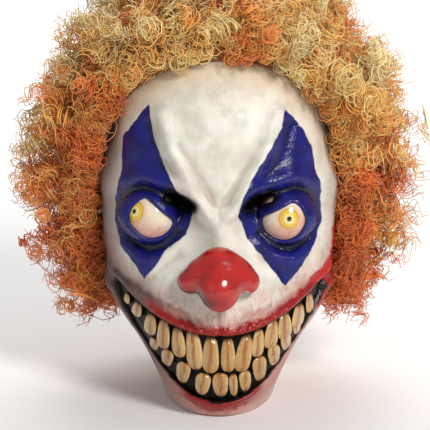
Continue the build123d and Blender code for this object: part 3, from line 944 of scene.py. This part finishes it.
# %% Eye finish
def veins(made):
    """Thin lines between the cells of a pattern, in patches on the lower half of the ball."""
    inputs = {"Vector": place_of(made), "Scale": 210.0, "Randomness": 1.0}
    cells = add_node(made, "TexVoronoi", {"feature": "DISTANCE_TO_EDGE"}, inputs).outputs["Distance"]
    thin = step(made, wavering(made, cells, grain(made, 2.5, 4.0), 0.16), 0.125, 0.085)
    patches = step(made, grain(made, 10, 2.0), 0.42, 0.62)
    return times(made, thin, times(made, patches, step(made, stored(made, "low"), 4, -8)))


def eye_paint():
    """Pupil, iris and veined white, by distance from the middle of the iris."""
    made, shader = new_finish("eye_paint", 0.12)
    away = wavering(made, stored(made, "iris"), grain(made, 2.2), 0.8)
    pink = step(made, wavering(made, stored(made, "low"), grain(made, 9), 14.0), 12, -4)
    white = blend_colours(made, pink, (0.76, 0.66, 0.52), (0.66, 0.36, 0.28))
    vein = veins(made)
    white = coat(made, white, vein, 0.6, (0.30, 0.06, 0.05))
    white = coat(made, white, step(made, away, 12.5, 8.4), 0.55, (0.72, 0.36, 0.10))
    iris = blend_colours(made, step(made, away, 4.2, 5.2), (0.80, 0.66, 0.26), (0.74, 0.47, 0.03))
    iris = blend_colours(made, step(made, away, 7.2, 8.3), iris, (0.40, 0.19, 0.02))
    colour = blend_colours(made, step(made, away, 8.0, 8.6), iris, white)
    colour = blend_colours(made, step(made, away, 2.6, 2.0), colour, (0.01, 0.01, 0.012))
    # Painted shade: dark brown where the ball goes under the lids.
    colour = blend_colours(made, step(made, stored(made, "rim"), 20.0, 26.0), colour, (0.13, 0.045, 0.035))
    feed(made, shader.inputs["Base Color"], colour)
    roughen(made, shader, math_node(made, "SUBTRACT", grain(made, 3.0, 4.0), vein), 0.25, 0.5)
    shader.inputs["Coat Weight"].default_value = 0.8
    shader.inputs["Coat Roughness"].default_value = 0.05
    return made


eye_finish = eye_paint()
print("finish", eye_finish.name)


# %% Make the eyes
LOOKS = {-1: (-12.6, 6.2), 1: (2.6, 1.6)}  # where the iris lies, across and up from the eye's middle
IRIS_RAISED = 0.018  # as a share of the eye's radius
EYE_WALL = 1.3


def arc_from(points, look):
    """How far each point of the ball lies from a direction, along the ball."""
    cosine = points @ look / np.linalg.norm(points, axis=1)
    return np.arccos(np.clip(cosine, -1, 1)) * EYE_RADIUS


def make_eye(side, name, node):
    """A dome that is open at the back, with a slightly raised iris."""
    dome = bmesh.new()
    bmesh.ops.create_uvsphere(dome, u_segments=64, v_segments=48, radius=EYE_RADIUS * MM)
    bmesh.ops.rotate(dome, verts=dome.verts, matrix=Matrix.Rotation(math.radians(90), 3, "X"))
    whole = dome.verts[:] + dome.edges[:] + dome.faces[:]
    cut = (0, -0.4 * MM, 0)
    bmesh.ops.bisect_plane(dome, geom=whole, plane_co=cut, plane_no=(0, 1, 0), clear_outer=True)
    points = read_points(dome)
    across, up = LOOKS[side]
    look = np.array([across, -math.sqrt(EYE_RADIUS**2 - across**2 - up**2), up]) / EYE_RADIUS
    from_iris = arc_from(points, look)
    points *= 1 + IRIS_RAISED * np.exp(-((from_iris / 6.5) ** 4))[:, None]
    write_points(dome, points + np.array([EYE_X[side], EYE_Y[side], EYE_Z]))
    bmesh.ops.recalc_face_normals(dome, faces=dome.faces)
    eye = start_piece(dome, name, [eye_finish], "mask", [node])
    store(eye, "iris", from_iris)
    store(eye, "rim", arc_from(points, np.array([0, -1, 0])))
    store(eye, "low", points[:, 2] - side * 0.45 * points[:, 0])
    thicken(eye, EYE_WALL)
    return eye


eyes = [
    make_eye(-1, "left_eye_painted", "left_eye"),
    make_eye(1, "right_eye_painted", "right_eye"),
]
print("eye triangles", [triangles(eye) for eye in eyes])

# %% [markdown]
# ## The gums
# Behind the lips lies a curved plate for each jaw, black-brown and wet, which swells round the
# root of each tooth. It is a grid that is laid on the form a little behind the skin and given a
# wall.

# %% Teeth layout
UPPER_TEETH = [  # middle across and up, width, height, lean in degrees
    (-73, 86.8, 5, 9, 8), (-64.7, 80.8, 8.2, 13, 14), (-54, 71.5, 9.6, 19, 8),
    (-43.7, 66, 10, 25.5, 3), (-32, 61.5, 10.6, 25, -4), (-19.8, 57.5, 12.6, 33, -6),
    (-6.8, 54, 12.6, 29.5, 1), (6.6, 54, 11.2, 27.5, -2), (19, 54.5, 12.2, 30, 10),
    (29.8, 61.5, 9.6, 22.5, 4), (40.4, 67, 10.8, 24, 6), (51, 70.5, 11, 22.5, -3),
    (62, 75.5, 10.2, 20.5, 4), (71.2, 83.5, 6.6, 17.5, -6),
]
LOWER_TEETH = [
    (-51.5, 53.5, 7.6, 13, 10), (-41, 45.5, 9.2, 16, 10), (-28.5, 36, 10.6, 19.5, 8),
    (-13.2, 28.8, 11.6, 20, 8), (0.8, 28.8, 12.2, 21, -2), (10.9, 28.2, 6.6, 20, -3),
    (20, 30.5, 9.2, 19, -5), (31.4, 38.5, 10.8, 22.5, -4), (42.8, 46.5, 9.8, 20.5, -7),
    (52.4, 54.6, 8.4, 17, -9), (61, 64, 6.6, 12, -10),
]
print("teeth", len(UPPER_TEETH), "above and", len(LOWER_TEETH), "below")


# %% Make the gums
def gum_paint():
    """Nearly black latex with a wet gloss and a hint of dark red."""
    made, shader = new_finish("gum_paint", 0.3)
    cloud = step(made, grain(made, 5, 4.0), 0.45, 0.8)
    colour = blend_colours(made, cloud, (0.003, 0.002, 0.002), (0.020, 0.005, 0.004))
    feed(made, shader.inputs["Base Color"], colour)
    roughen(made, shader, grain(made, 2.5, 4.0), 0.5, 0.7)
    shader.inputs["Specular IOR Level"].default_value = 0.12
    return made


gum_finish = gum_paint()
GUM_BEHIND = 3.6  # its front lies this far behind the form
GUM_WIDTH, GUM_WALL = 166, 3.0


def make_gum(name, node, low_line, high_line, teeth):
    """One jaw's gum, a plate between two lines of the mouth with a swelling at each root."""
    plate = bmesh.new()
    bmesh.ops.create_grid(plate, x_segments=150, y_segments=34, size=0.5)
    flat = np.array([v.co for v in plate.verts])
    x = flat[:, 0] * GUM_WIDTH
    share = flat[:, 1] + 0.5
    low = mouth_line(low_line, x)
    z = low + share * (mouth_line(high_line, x) - low)
    swell = sum(2.2 * np.exp(-(((x - t[0]) / (0.42 * t[2])) ** 2)) for t in teeth)
    points = np.stack([x, front_y(x, z) + GUM_BEHIND, z], 1)
    points[:, 1] -= swell + 0.5 * lumps(points, 5, 4.0)
    write_points(plate, points)
    bmesh.ops.recalc_face_normals(plate, faces=plate.faces)
    if sum(f.normal.y for f in plate.faces) > 0:
        bmesh.ops.reverse_faces(plate, faces=plate.faces)
    gum = start_piece(plate, name, [gum_finish], "mask", [node])
    thicken(gum, GUM_WALL)
    return gum


gums = [
    make_gum("upper_gum_cast", "upper_gum", (35.2, 95.7), (72, 104), UPPER_TEETH),
    make_gum("lower_gum_cast", "lower_gum", (10.8, 87.5), (34.2, 94.7), LOWER_TEETH),
]
print("gum triangles", [triangles(gum) for gum in gums])

# %% [markdown]
# ## The teeth
# Each tooth is a ball pressed square: its cross-section is a soft rectangle, its free end is
# wider than its root, and faint furrows run down its face. A tooth leans by its own few degrees
# and lies on the curve of the jaw. Its points store how near they are to the root and to its
# sides, and a tone of its own, for the stain.

# %% Tooth finish
def tooth_paint():
    """Amber enamel: paler along the sides, a brown stripe down the middle and a dark root."""
    made, shader = new_finish("tooth_paint", 0.26)
    streaks = grain(made, 5.0, 4.0, (1.6, 1.6, 0.22), 0.6)
    side = stored(made, "side")
    colour = blend_colours(made, stored(made, "tone"), (0.46, 0.255, 0.078), (0.56, 0.35, 0.135))
    stripe = step(made, wavering(made, side, streaks, 1.3), 1.05, 0.70)
    colour = coat(made, colour, stripe, 0.9, (0.32, 0.105, 0.016))
    pale = step(made, wavering(made, side, grain(made, 3), 0.5), 0.85, 1.15)
    colour = coat(made, colour, pale, 0.7, (0.74, 0.56, 0.29))
    root = step(made, wavering(made, stored(made, "root"), grain(made, 4), 0.3), 0.82, 1.15)
    colour = blend_colours(made, root, colour, (0.10, 0.035, 0.012))
    feed(made, shader.inputs["Base Color"], colour)
    roughen(made, shader, plus(made, streaks, grain(made, 1.5, 3.0)), 0.25, 0.5)
    shader.inputs["Coat Weight"].default_value = 0.5
    shader.inputs["Coat Roughness"].default_value = 0.15
    return made


tooth_finish = tooth_paint()


# %% Make the teeth
TOOTH_BEHIND = 1.6  # the middle of a tooth lies this far behind the form
TOOTH_HALF_DEPTH = 4.6


def tooth_points(ball, tooth, root_up, chance):
    """A ball's points moved to a tooth, and how near each is to the root and to the sides."""
    x, z, width, height, lean = tooth
    square = np.sign(ball) * np.abs(ball) ** np.array([0.72, 0.8, 0.66])
    root = square[:, 2] * root_up
    taper = 1 - 0.20 * root - 0.10 * root**2
    across = square[:, 0] * width / 2 * taper
    up = square[:, 2] * height / 2
    furrow = 0.28 * np.cos(square[:, 0] * 7 + chance.uniform(-1, 1)) * (square[:, 1] < 0)
    tilt = math.radians(lean)
    real_x = x + across * math.cos(tilt) + up * math.sin(tilt)
    real_z = z - across * math.sin(tilt) + up * math.cos(tilt)
    real_y = front_y(real_x, real_z) + TOOTH_BEHIND + chance.uniform(-0.7, 0.7)
    real_y += square[:, 1] * TOOTH_HALF_DEPTH - furrow + 0.9 * root
    return np.stack([real_x, real_y, real_z], 1), root, np.abs(square[:, 0])


def make_teeth(name, node, teeth, root_up, seed):
    """One row of teeth. Root_up is 1 where the roots are at the top and -1 where they are below."""
    chance = random.Random(seed)
    row = bmesh.new()
    stores = {"root": [], "tone": [], "side": []}
    placed = []
    for tooth in teeth:
        bmesh.ops.create_icosphere(row, subdivisions=4, radius=MM)
        ball = read_points(row)[len(placed):]
        points, root, side = tooth_points(ball, tooth, root_up, chance)
        placed += list(points)
        stores["root"] += list(root)
        stores["tone"] += [chance.random()] * len(ball)
        stores["side"] += list(side)
    points = np.array(placed)
    points += 0.22 * np.stack([lumps(points, 4, k * 3.0) for k in range(3)], 1)
    write_points(row, points)
    bmesh.ops.recalc_face_normals(row, faces=row.faces)
    made = start_piece(row, name, [tooth_finish], "mask", [node])
    for key, values in stores.items():
        store(made, key, values)
    return made


rows_of_teeth = [
    make_teeth("upper_teeth_cast", "upper_teeth", UPPER_TEETH, 1, 11),
    make_teeth("lower_teeth_cast", "lower_teeth", LOWER_TEETH, -1, 12),
]
print("teeth triangles", [triangles(row) for row in rows_of_teeth])

# %% [markdown]
# ## The wig: where the hair grows
# The hair is sewn to a stretch cap in rows. A line from the middle of the wig outwards meets the
# cap where hair grows and misses it at the face, so the cap itself says where each curl is
# rooted. The wig's outside is an egg round the same middle, as large as the solid tufts of the
# rows.

# %% Cap and outside of the wig
ROW_EDGES = [-47, -32, -17, -2, 13, 28, 43, 58, 73, 90]  # degrees above the horizon
ROW_NODES = [f"hair_row_{k}" for k in range(1, 9)] + ["hair_crown"]
row_boxes = [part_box(node) for node in ROW_NODES]
WIG_MIDDLE = Vector((0, 5 + HEAD_Y, 172)) * MM
WIG_HALF = Vector((
    max(high.x for _, high in row_boxes),
    max(high.y for _, high in row_boxes) - WIG_MIDDLE.y,
    max(high.z for _, high in row_boxes) - WIG_MIDDLE.z,
))
cap_tree = tree_of("wig_cap")
OUTSIDE = 0.4  # metres from the middle of the wig, well outside it


def cap_reach(direction):
    """How far the cap's outside lies along a direction, or None where there is no cap."""
    start = WIG_MIDDLE + direction * OUTSIDE
    place, _, _, away = cap_tree.ray_cast(start, -direction, OUTSIDE)
    return None if place is None else OUTSIDE - away


def wig_reach(direction):
    """How far the wig's outside lies along a direction."""
    return 1 / math.sqrt(sum((direction[k] / WIG_HALF[k]) ** 2 for k in range(3)))


print("wig reaches", [round(v, 3) for v in WIG_HALF], "from its middle")

# %% [markdown]
# Curled hair is mostly air, and a real wig has tens of thousands of curls. Two layers give that
# look within reason: a matted underlayer, lumpy and darkened with painted shade, that fills the
# depth, and over it thousands of coiled strands. The underlayer is a ball whose points slide out to
# a share of the way from the cap to the outside, and down to the cap at the hairline. That share is
# 0 at the hairline and 1 elsewhere, and is averaged with its neighbours until the change between is
# smooth.

# %% Underlayer
def hair_finish(name, colour, dark, roughness=0.42):
    """Synthetic hair: a colour that drifts over the wig, painted shade near the cap, and a soft sheen."""
    made, shader = new_finish(name, roughness)
    drift = step(made, grain(made, 30, 3.0), 0.35, 0.7)
    tint = blend_colours(made, drift, colour, tuple(c * 0.72 for c in colour))
    # Painted shade: towards the dark colour where the stored root value is high, deep in the wig.
    feed(made, shader.inputs["Base Color"], blend_colours(made, stored(made, "root"), tint, dark))
    shader.inputs["Sheen Weight"].default_value = 0.2
    shader.inputs["Sheen Roughness"].default_value = 0.5
    return made


# The underlayer's colours are darker than the curls', as painted shade of the wig's depth.
under_finish = hair_finish("matted_hair", (0.62, 0.16, 0.03), (0.42, 0.09, 0.015), 0.8)
under_shader = under_finish.node_tree.nodes["Principled BSDF"]
roughen(under_finish, under_shader, grain(under_finish, 2.4, 4.0), 1.0, 3.0)
print("finish", under_finish.name)

# %% Matted ball
MAT_WALL = 0.9
mat_ball = bmesh.new()
bmesh.ops.create_icosphere(mat_ball, subdivisions=6, radius=1.0)
reaches = [cap_reach(v.co.normalized()) for v in mat_ball.verts]
bare = [v for v, reach in zip(mat_ball.verts, reaches) if reach is None]
on_cap = [reach for reach in reaches if reach is not None]
bmesh.ops.delete(mat_ball, geom=bare, context="VERTS")
mat_ball.verts.index_update()
shares = np.array([0.0 if v.is_boundary else 1.0 for v in mat_ball.verts])
neighbours = np.array([[v.index for v in e.verts] for e in mat_ball.edges])
at_hairline = shares == 0
for _ in range(16):
    total, count = np.zeros(len(shares)), np.zeros(len(shares))
    for a, b in ((0, 1), (1, 0)):
        np.add.at(total, neighbours[:, a], shares[neighbours[:, b]])
        np.add.at(count, neighbours[:, a], 1)
    shares = np.where(at_hairline, 0, total / np.maximum(count, 1))
for vert, reach, share in zip(mat_ball.verts, on_cap, shares):
    way = vert.co.normalized()
    matted = 0.46 + 0.16 * noise.noise(way * 9) + 0.12 * noise.noise(way * 24)
    vert.co = WIG_MIDDLE + way * (reach + 0.001 + share * matted * (wig_reach(way) - reach))
underlayer = start_piece(mat_ball, "matted_underlayer", [under_finish], "mask")
thicken(underlayer, MAT_WALL)
# Painted shade on the underlayer: full at the hairline and half as strong elsewhere.
store(underlayer, "root", 1 - shares * 0.5)
print("underlayer triangles", triangles(underlayer))

# %% [markdown]
# A lock is a handful of strands that coil together about one line. Some locks stand out from the
# head, most lie over at an angle, and the short ones along the hairline lean over the face. Each
# has its own size of coil. A strand is a curve given a thin three-sided tube, because thousands of
# them must stay light, and it thins towards its tip. The wig is redder low down and deep inside,
# and more golden at the top and on the outside: that is painted light and shade, while a drift over
# the wig and chance change its tone as well. Lengths of hair are in metres.

# %% Strands
STRAND_RADIUS = 0.00052
STRAND_TURN_STEPS = 7
STRANDS_IN_LOCK = 6
LOCKS_IN_ROW = [220, 280, 315, 325, 325, 325, 310, 235, 100]
EDGE_SHARE = 0.30  # of the locks grow along the hairline
FURTHEST = 1.06  # no strand reaches further out than this share of the wig's outside
Lock = namedtuple("Lock", "start way length radius turns direction depth")
TONES = [  # the lightness below which a strand has this tone
    (0.22, hair_finish("curl_deep_orange", (0.93, 0.215, 0.026), (0.62, 0.10, 0.012))),
    (0.46, hair_finish("curl_orange", (0.97, 0.37, 0.05), (0.72, 0.18, 0.02))),
    (0.71, hair_finish("curl_gold", (0.97, 0.60, 0.15), (0.80, 0.32, 0.05))),
    (9.0, hair_finish("curl_straw", (0.98, 0.78, 0.36), (0.88, 0.50, 0.14))),
]


def direction_of(turn, rise):
    """A direction: how far it is turned round from the back and how far it rises, in radians."""
    return Vector((math.sin(turn) * math.cos(rise), math.cos(turn) * math.cos(rise), math.sin(rise)))


def hairline_turn(rise):
    """How far round from the back the cap reaches at this rise."""
    for degrees in range(180, 60, -1):
        if cap_reach(direction_of(math.radians(degrees), rise)) is not None:
            return math.radians(degrees)
    return math.radians(60)


def any_vector(chance):
    """A random vector with no preferred direction."""
    return Vector([chance.gauss(0, 1) for _ in range(3)]).normalized()


def body_lock(low, high, chance):
    """A lock anywhere in a row, or None where the row has no cap under it."""
    rise = math.asin(chance.uniform(math.sin(low), math.sin(high)))
    direction = direction_of(chance.uniform(-math.pi, math.pi), rise)
    inner = cap_reach(direction)
    if inner is None:
        return None
    droop = Vector((0, 0, -0.12))
    way = (direction + any_vector(chance) * chance.uniform(0.2, 1.4) + droop).normalized()
    length = chance.uniform(0.024, 0.042)
    depth = chance.random() ** 0.5
    end = inner + 0.008 + depth * max(wig_reach(direction) + 0.004 - inner - 0.008, 0.004)
    start = WIG_MIDDLE + direction * max(end - length * way.dot(direction), inner + 0.004)
    radius = chance.uniform(0.0030, 0.0064)
    turns = chance.uniform(1.8, 3.2)
    return Lock(start, way, length, radius, turns, direction, depth)


def edge_lock(low, high, chance):
    """A short lock at the hairline, which leans over towards the face."""
    rise = chance.uniform(low, high)
    limit = hairline_turn(rise)
    if limit < math.pi - 0.01:
        turn = chance.choice((-1, 1)) * (limit - abs(chance.gauss(0, 0.09)))
    else:
        rise, turn = low + abs(chance.gauss(0, 0.07)), math.pi + chance.gauss(0, 0.55)
    direction = direction_of(turn, rise)
    inner = cap_reach(direction)
    if inner is None:
        return None
    lean = Vector((-0.25 * math.copysign(1, direction.x), -0.55, -0.05))
    way = (direction * 0.55 + lean + any_vector(chance) * 0.5).normalized()
    start = WIG_MIDDLE + direction * (inner + chance.uniform(0.003, 0.016))
    length = chance.uniform(0.014, 0.027)
    radius = chance.uniform(0.0028, 0.0050)
    turns = chance.uniform(1.5, 2.6)
    return Lock(start, way, length, radius, turns, direction, 0.6)


def coil(lock, chance, phase):
    """Points of one strand, which winds about the lock's line, bows a little and thins to its tip."""
    side = lock.way.orthogonal().normalized()
    across = lock.way.cross(side)
    bow = any_vector(chance) * chance.uniform(0, 0.35) * lock.length
    radius = lock.radius * (chance.uniform(0.7, 1.3) * (1.6 if chance.random() < 0.07 else 1))
    uneven, shift = chance.uniform(0, 6.28), chance.gauss(0, 0.0024)
    count = int(lock.turns * STRAND_TURN_STEPS) + 1
    points = []
    for k in range(count):
        share = k / (count - 1)
        angle = phase + (share + 0.07 * math.sin(6 * share + uneven)) * lock.turns * 2 * math.pi
        swell = radius * (0.45 + 0.75 * math.sin(math.pi * (0.15 + 0.75 * share)))
        swell *= 1 + 0.3 * math.sin(5 * share + uneven)
        place = lock.start + lock.way * (lock.length * share + shift) + bow * share**2
        place += (side * math.cos(angle) + across * math.sin(angle)) * swell - WIG_MIDDLE
        reach = math.sqrt(sum((place[axis] / WIG_HALF[axis]) ** 2 for axis in range(3)))
        points.append((*(WIG_MIDDLE + place * min(1, FURTHEST / reach)), 1.0))
    return points


print("hair tones", [tone.name for _, tone in TONES])


# %% Grow the rows
section = bpy.data.curves.new("strand_section", "CURVE")
section.dimensions = "2D"
three_sides = section.splines.new("POLY")
three_sides.points.add(2)
for point, degrees in zip(three_sides.points, (90, 210, 330)):
    turn = math.radians(degrees)
    point.co = (STRAND_RADIUS * math.cos(turn), STRAND_RADIUS * math.sin(turn), 0, 1)
three_sides.use_cyclic_u = True
section_object = bpy.data.objects.new("strand_section", section)
scene.collection.objects.link(section_object)


def add_lock(curve, lock, chance):
    """The strands of one lock, whose tone follows height, depth, a drift over the wig, and chance."""
    drift = noise.noise(lock.direction * 4.5)
    # Painted light and shade: locks higher up and further out are lighter, deeper ones darker; the drift
    # and chance are the wig's own tones.
    light = 0.46 * lock.direction.z + 0.36 * lock.depth + 0.60 * drift + chance.gauss(-0.01, 0.12)
    phase = chance.uniform(0, 6.28)
    for _ in range(STRANDS_IN_LOCK):
        points = coil(lock, chance, phase + chance.gauss(0, 0.4))
        strand = curve.splines.new("POLY")
        strand.points.add(len(points) - 1)
        strand.points.foreach_set("co", [value for point in points for value in point])
        strand.points.foreach_set("radius", [1 - 0.6 * (k / len(points)) ** 2 for k in range(len(points))])
        tone = light + chance.gauss(0, 0.12)
        strand.material_index = next(k for k, (limit, _) in enumerate(TONES) if tone < limit)


def grow_row(index):
    """All the locks of one row, as one piece."""
    chance = random.Random(100 + index)
    low, high = (math.radians(edge) for edge in ROW_EDGES[index:index + 2])
    curve = bpy.data.curves.new("row", "CURVE")
    curve.dimensions = "3D"
    curve.bevel_mode = "OBJECT"
    curve.bevel_object = section_object
    curve.use_fill_caps = True
    for _, tone in TONES:
        curve.materials.append(tone)
    grown = 0
    while grown < LOCKS_IN_ROW[index]:
        at_edge = index < 8 and chance.random() < EDGE_SHARE
        lock = (edge_lock if at_edge else body_lock)(low, high, chance)
        if lock is not None:
            add_lock(curve, lock, chance)
            grown += 1
    grower = bpy.data.objects.new("row", curve)
    scene.collection.objects.link(grower)
    mesh = bpy.data.meshes.new_from_object(grower.evaluated_get(bpy.context.evaluated_depsgraph_get()))
    bpy.data.objects.remove(grower)
    bpy.data.curves.remove(curve)
    return mesh


def place_row(index, mesh):
    """Turns a grown mesh into a piece, and stores how deep in the wig each of its points lies."""
    node = ROW_NODES[index]
    piece = place_piece(f"curls_{node}", mesh, "mask", [node])
    points = np.zeros(len(mesh.vertices) * 3)
    mesh.vertices.foreach_get("co", points)
    away = (points.reshape(-1, 3) - np.array(WIG_MIDDLE)) / np.array(WIG_HALF)
    # Painted shade: points deep in the wig, near the cap, get the dark colour.
    store(piece, "root", np.clip((0.82 - np.linalg.norm(away, axis=1)) / 0.24, 0, 1))
    return piece


curls = [place_row(index, grow_row(index)) for index in range(len(ROW_NODES))]
bpy.data.objects.remove(section_object)
bpy.data.curves.remove(section)
print("curl triangles", [triangles(piece) for piece in curls])
tone_count = np.bincount([f.material_index for f in curls[3].data.polygons], minlength=len(TONES))
print("shares of the tones in the fourth row", np.round(tone_count / tone_count.sum(), 2))

# %% [markdown]
# ## What the wearer feels: the cap, the closure and the pad
# The stretch cap, its bands and the sewn tracks keep their plain shapes and only get a finish:
# knit, ribbed elastic and tape. So do the parts of the closure. A weave is two waves at right
# angles, and a rib is one. The tab's seams are laid over it as single stitches.

# %% Fabric finishes
def woven(name, colour, thread_mm, depth, axes, roughness=0.85):
    """Cloth: waves along one or two axes, with a little fuzz."""
    made, shader = new_finish(name, roughness)
    place = place_of(made)
    waves = []
    for axis in axes:
        inputs = {"Vector": place, "Scale": 314 / thread_mm, "Distortion": 0.6}
        waves.append(add_node(made, "TexWave", {"bands_direction": axis}, inputs).outputs["Fac"])
    weave = waves[0]
    for wave in waves[1:]:
        weave = math_node(made, "MAXIMUM", weave, wave)
    dark = tuple(c * 0.45 for c in colour)
    feed(made, shader.inputs["Base Color"], blend_colours(made, weave, dark, colour))
    roughen(made, shader, plus(made, weave, grain(made, 0.8, 2.0)), 0.8, depth)
    shader.inputs["Sheen Weight"].default_value = 0.3
    return made


FABRICS = {
    "wig_cap": woven("cap_knit", (0.30, 0.10, 0.03), 1.6, 0.3, "XZ"),
    "hairline_band": woven("band_knit", (0.34, 0.11, 0.03), 1.2, 0.3, "Z"),
    "nape_elastic": woven("elastic_rib", (0.035, 0.035, 0.038), 1.8, 0.4, "Z"),
    "weft_tracks": woven("weft_tape", (0.42, 0.14, 0.04), 1.4, 0.3, "XZ"),
    "closure_tab": woven("tab_webbing", (0.028, 0.028, 0.03), 1.5, 0.35, "XZ"),
    "tab_anchor": woven("anchor_webbing", (0.028, 0.028, 0.03), 1.5, 0.35, "XZ"),
    "hook_patch": woven("hook_tape", (0.03, 0.03, 0.03), 1.0, 0.6, "XZ", 0.5),
    "loop_patch": woven("loop_tape", (0.045, 0.045, 0.048), 0.7, 0.6, "XZ", 1.0),
}
for node, fabric in FABRICS.items():
    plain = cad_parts[node].data
    plain.materials.clear()
    plain.materials.append(fabric)
print("fabrics on", len(FABRICS), "nodes")


# %% Stitches
def stitch_ends(corners, stitch_mm, gap_mm):
    """Ends of the stitches along a line of corners, as pairs of across and up in millimetres."""
    ends = []
    for (x0, z0), (x1, z1) in zip(corners, corners[1:]):
        run = math.hypot(x1 - x0, z1 - z0)
        count = max(1, round(run / (stitch_mm + gap_mm)))
        for k in range(count):
            start = k / count + 0.5 * gap_mm / run
            end = (k + 1) / count - 0.5 * gap_mm / run
            ends.append([(x0 + (x1 - x0) * share, z0 + (z1 - z0) * share) for share in (start, end)])
    return ends


STITCH, STITCH_GAP, THREAD_RADIUS = 2.6, 0.7, 0.28


def sew(name, node, body, finish, corners):
    """A line of stitches on the outside of a node at the nape, each a thread with pointed ends."""
    surface = tree_of(node)
    thread = bmesh.new()
    for ends in stitch_ends(corners, STITCH, STITCH_GAP):
        behind = [Vector((x * MM, 0.3, z * MM)) for x, z in ends]
        first, last = [surface.ray_cast(place, Vector((0, -1, 0)))[0] for place in behind]
        shape = bmesh.ops.create_uvsphere(thread, u_segments=8, v_segments=6, radius=1.0)["verts"]
        along = last - first
        turned = Matrix.Translation((first + last) / 2)
        turned @= along.to_track_quat("Z", "X").to_matrix().to_4x4()
        size = Matrix.Diagonal((THREAD_RADIUS * MM, THREAD_RADIUS * MM, along.length / 2, 1))
        bmesh.ops.transform(thread, matrix=turned @ size, verts=shape)
    return start_piece(thread, name, [finish], body)


thread_finish, thread_shader = new_finish("thread", 0.6)
feed(thread_finish, thread_shader.inputs["Base Color"], (0.16, 0.16, 0.17))
# Corners of the seams, across and up in millimetres.
TAB_SEAM = [(-30, 14), (28, 14), (28, 36), (-30, 36), (-30, 14)]
PATCH_SEAM = [(12, 36), (12, 14)]
ANCHOR_SEAM = [(-45, 14), (-34, 14), (-34, 36), (-45, 36), (-45, 14)]
seams = [
    sew("tab_stitches", "closure_tab", "closure", thread_finish, TAB_SEAM),
    sew("patch_stitches", "closure_tab", "closure", thread_finish, PATCH_SEAM),
    sew("anchor_stitches", "tab_anchor", "mask", thread_finish, ANCHOR_SEAM),
]
print("stitch triangles", [triangles(seam) for seam in seams])

# %% [markdown]
# The pad inside the crown is a dome of open-cell foam. A ball's points are cast onto the plain
# dome and sunk a little by a fine noise, which leaves the open pores of cut foam.

# %% Crown pad
foam_finish, foam_shader = new_finish("open_cell_foam", 0.95)
pores = step(foam_finish, grain(foam_finish, 1.3, 2.0), 0.42, 0.6)
foam_colour = blend_colours(foam_finish, pores, (0.05, 0.05, 0.055), (0.17, 0.17, 0.18))
feed(foam_finish, foam_shader.inputs["Base Color"], foam_colour)
roughen(foam_finish, foam_shader, pores, 0.9, 0.8)

pad_surface = tree_of("crown_pad")
pad_low, pad_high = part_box("crown_pad")
pad_middle = (pad_low + pad_high) / 2 - Vector((0, 0, 0.004))
foam = bmesh.new()
bmesh.ops.create_icosphere(foam, subdivisions=6, radius=1.0)
for vert in foam.verts:
    way = vert.co.normalized()
    place = pad_surface.ray_cast(pad_middle, way)[0]
    vert.co = place - way * (0.0005 + 0.0004 * noise.noise(place * 420))
pad = start_piece(foam, "crown_pad_foam", [foam_finish], "mask", ["crown_pad"])
print("pad triangles", triangles(pad))
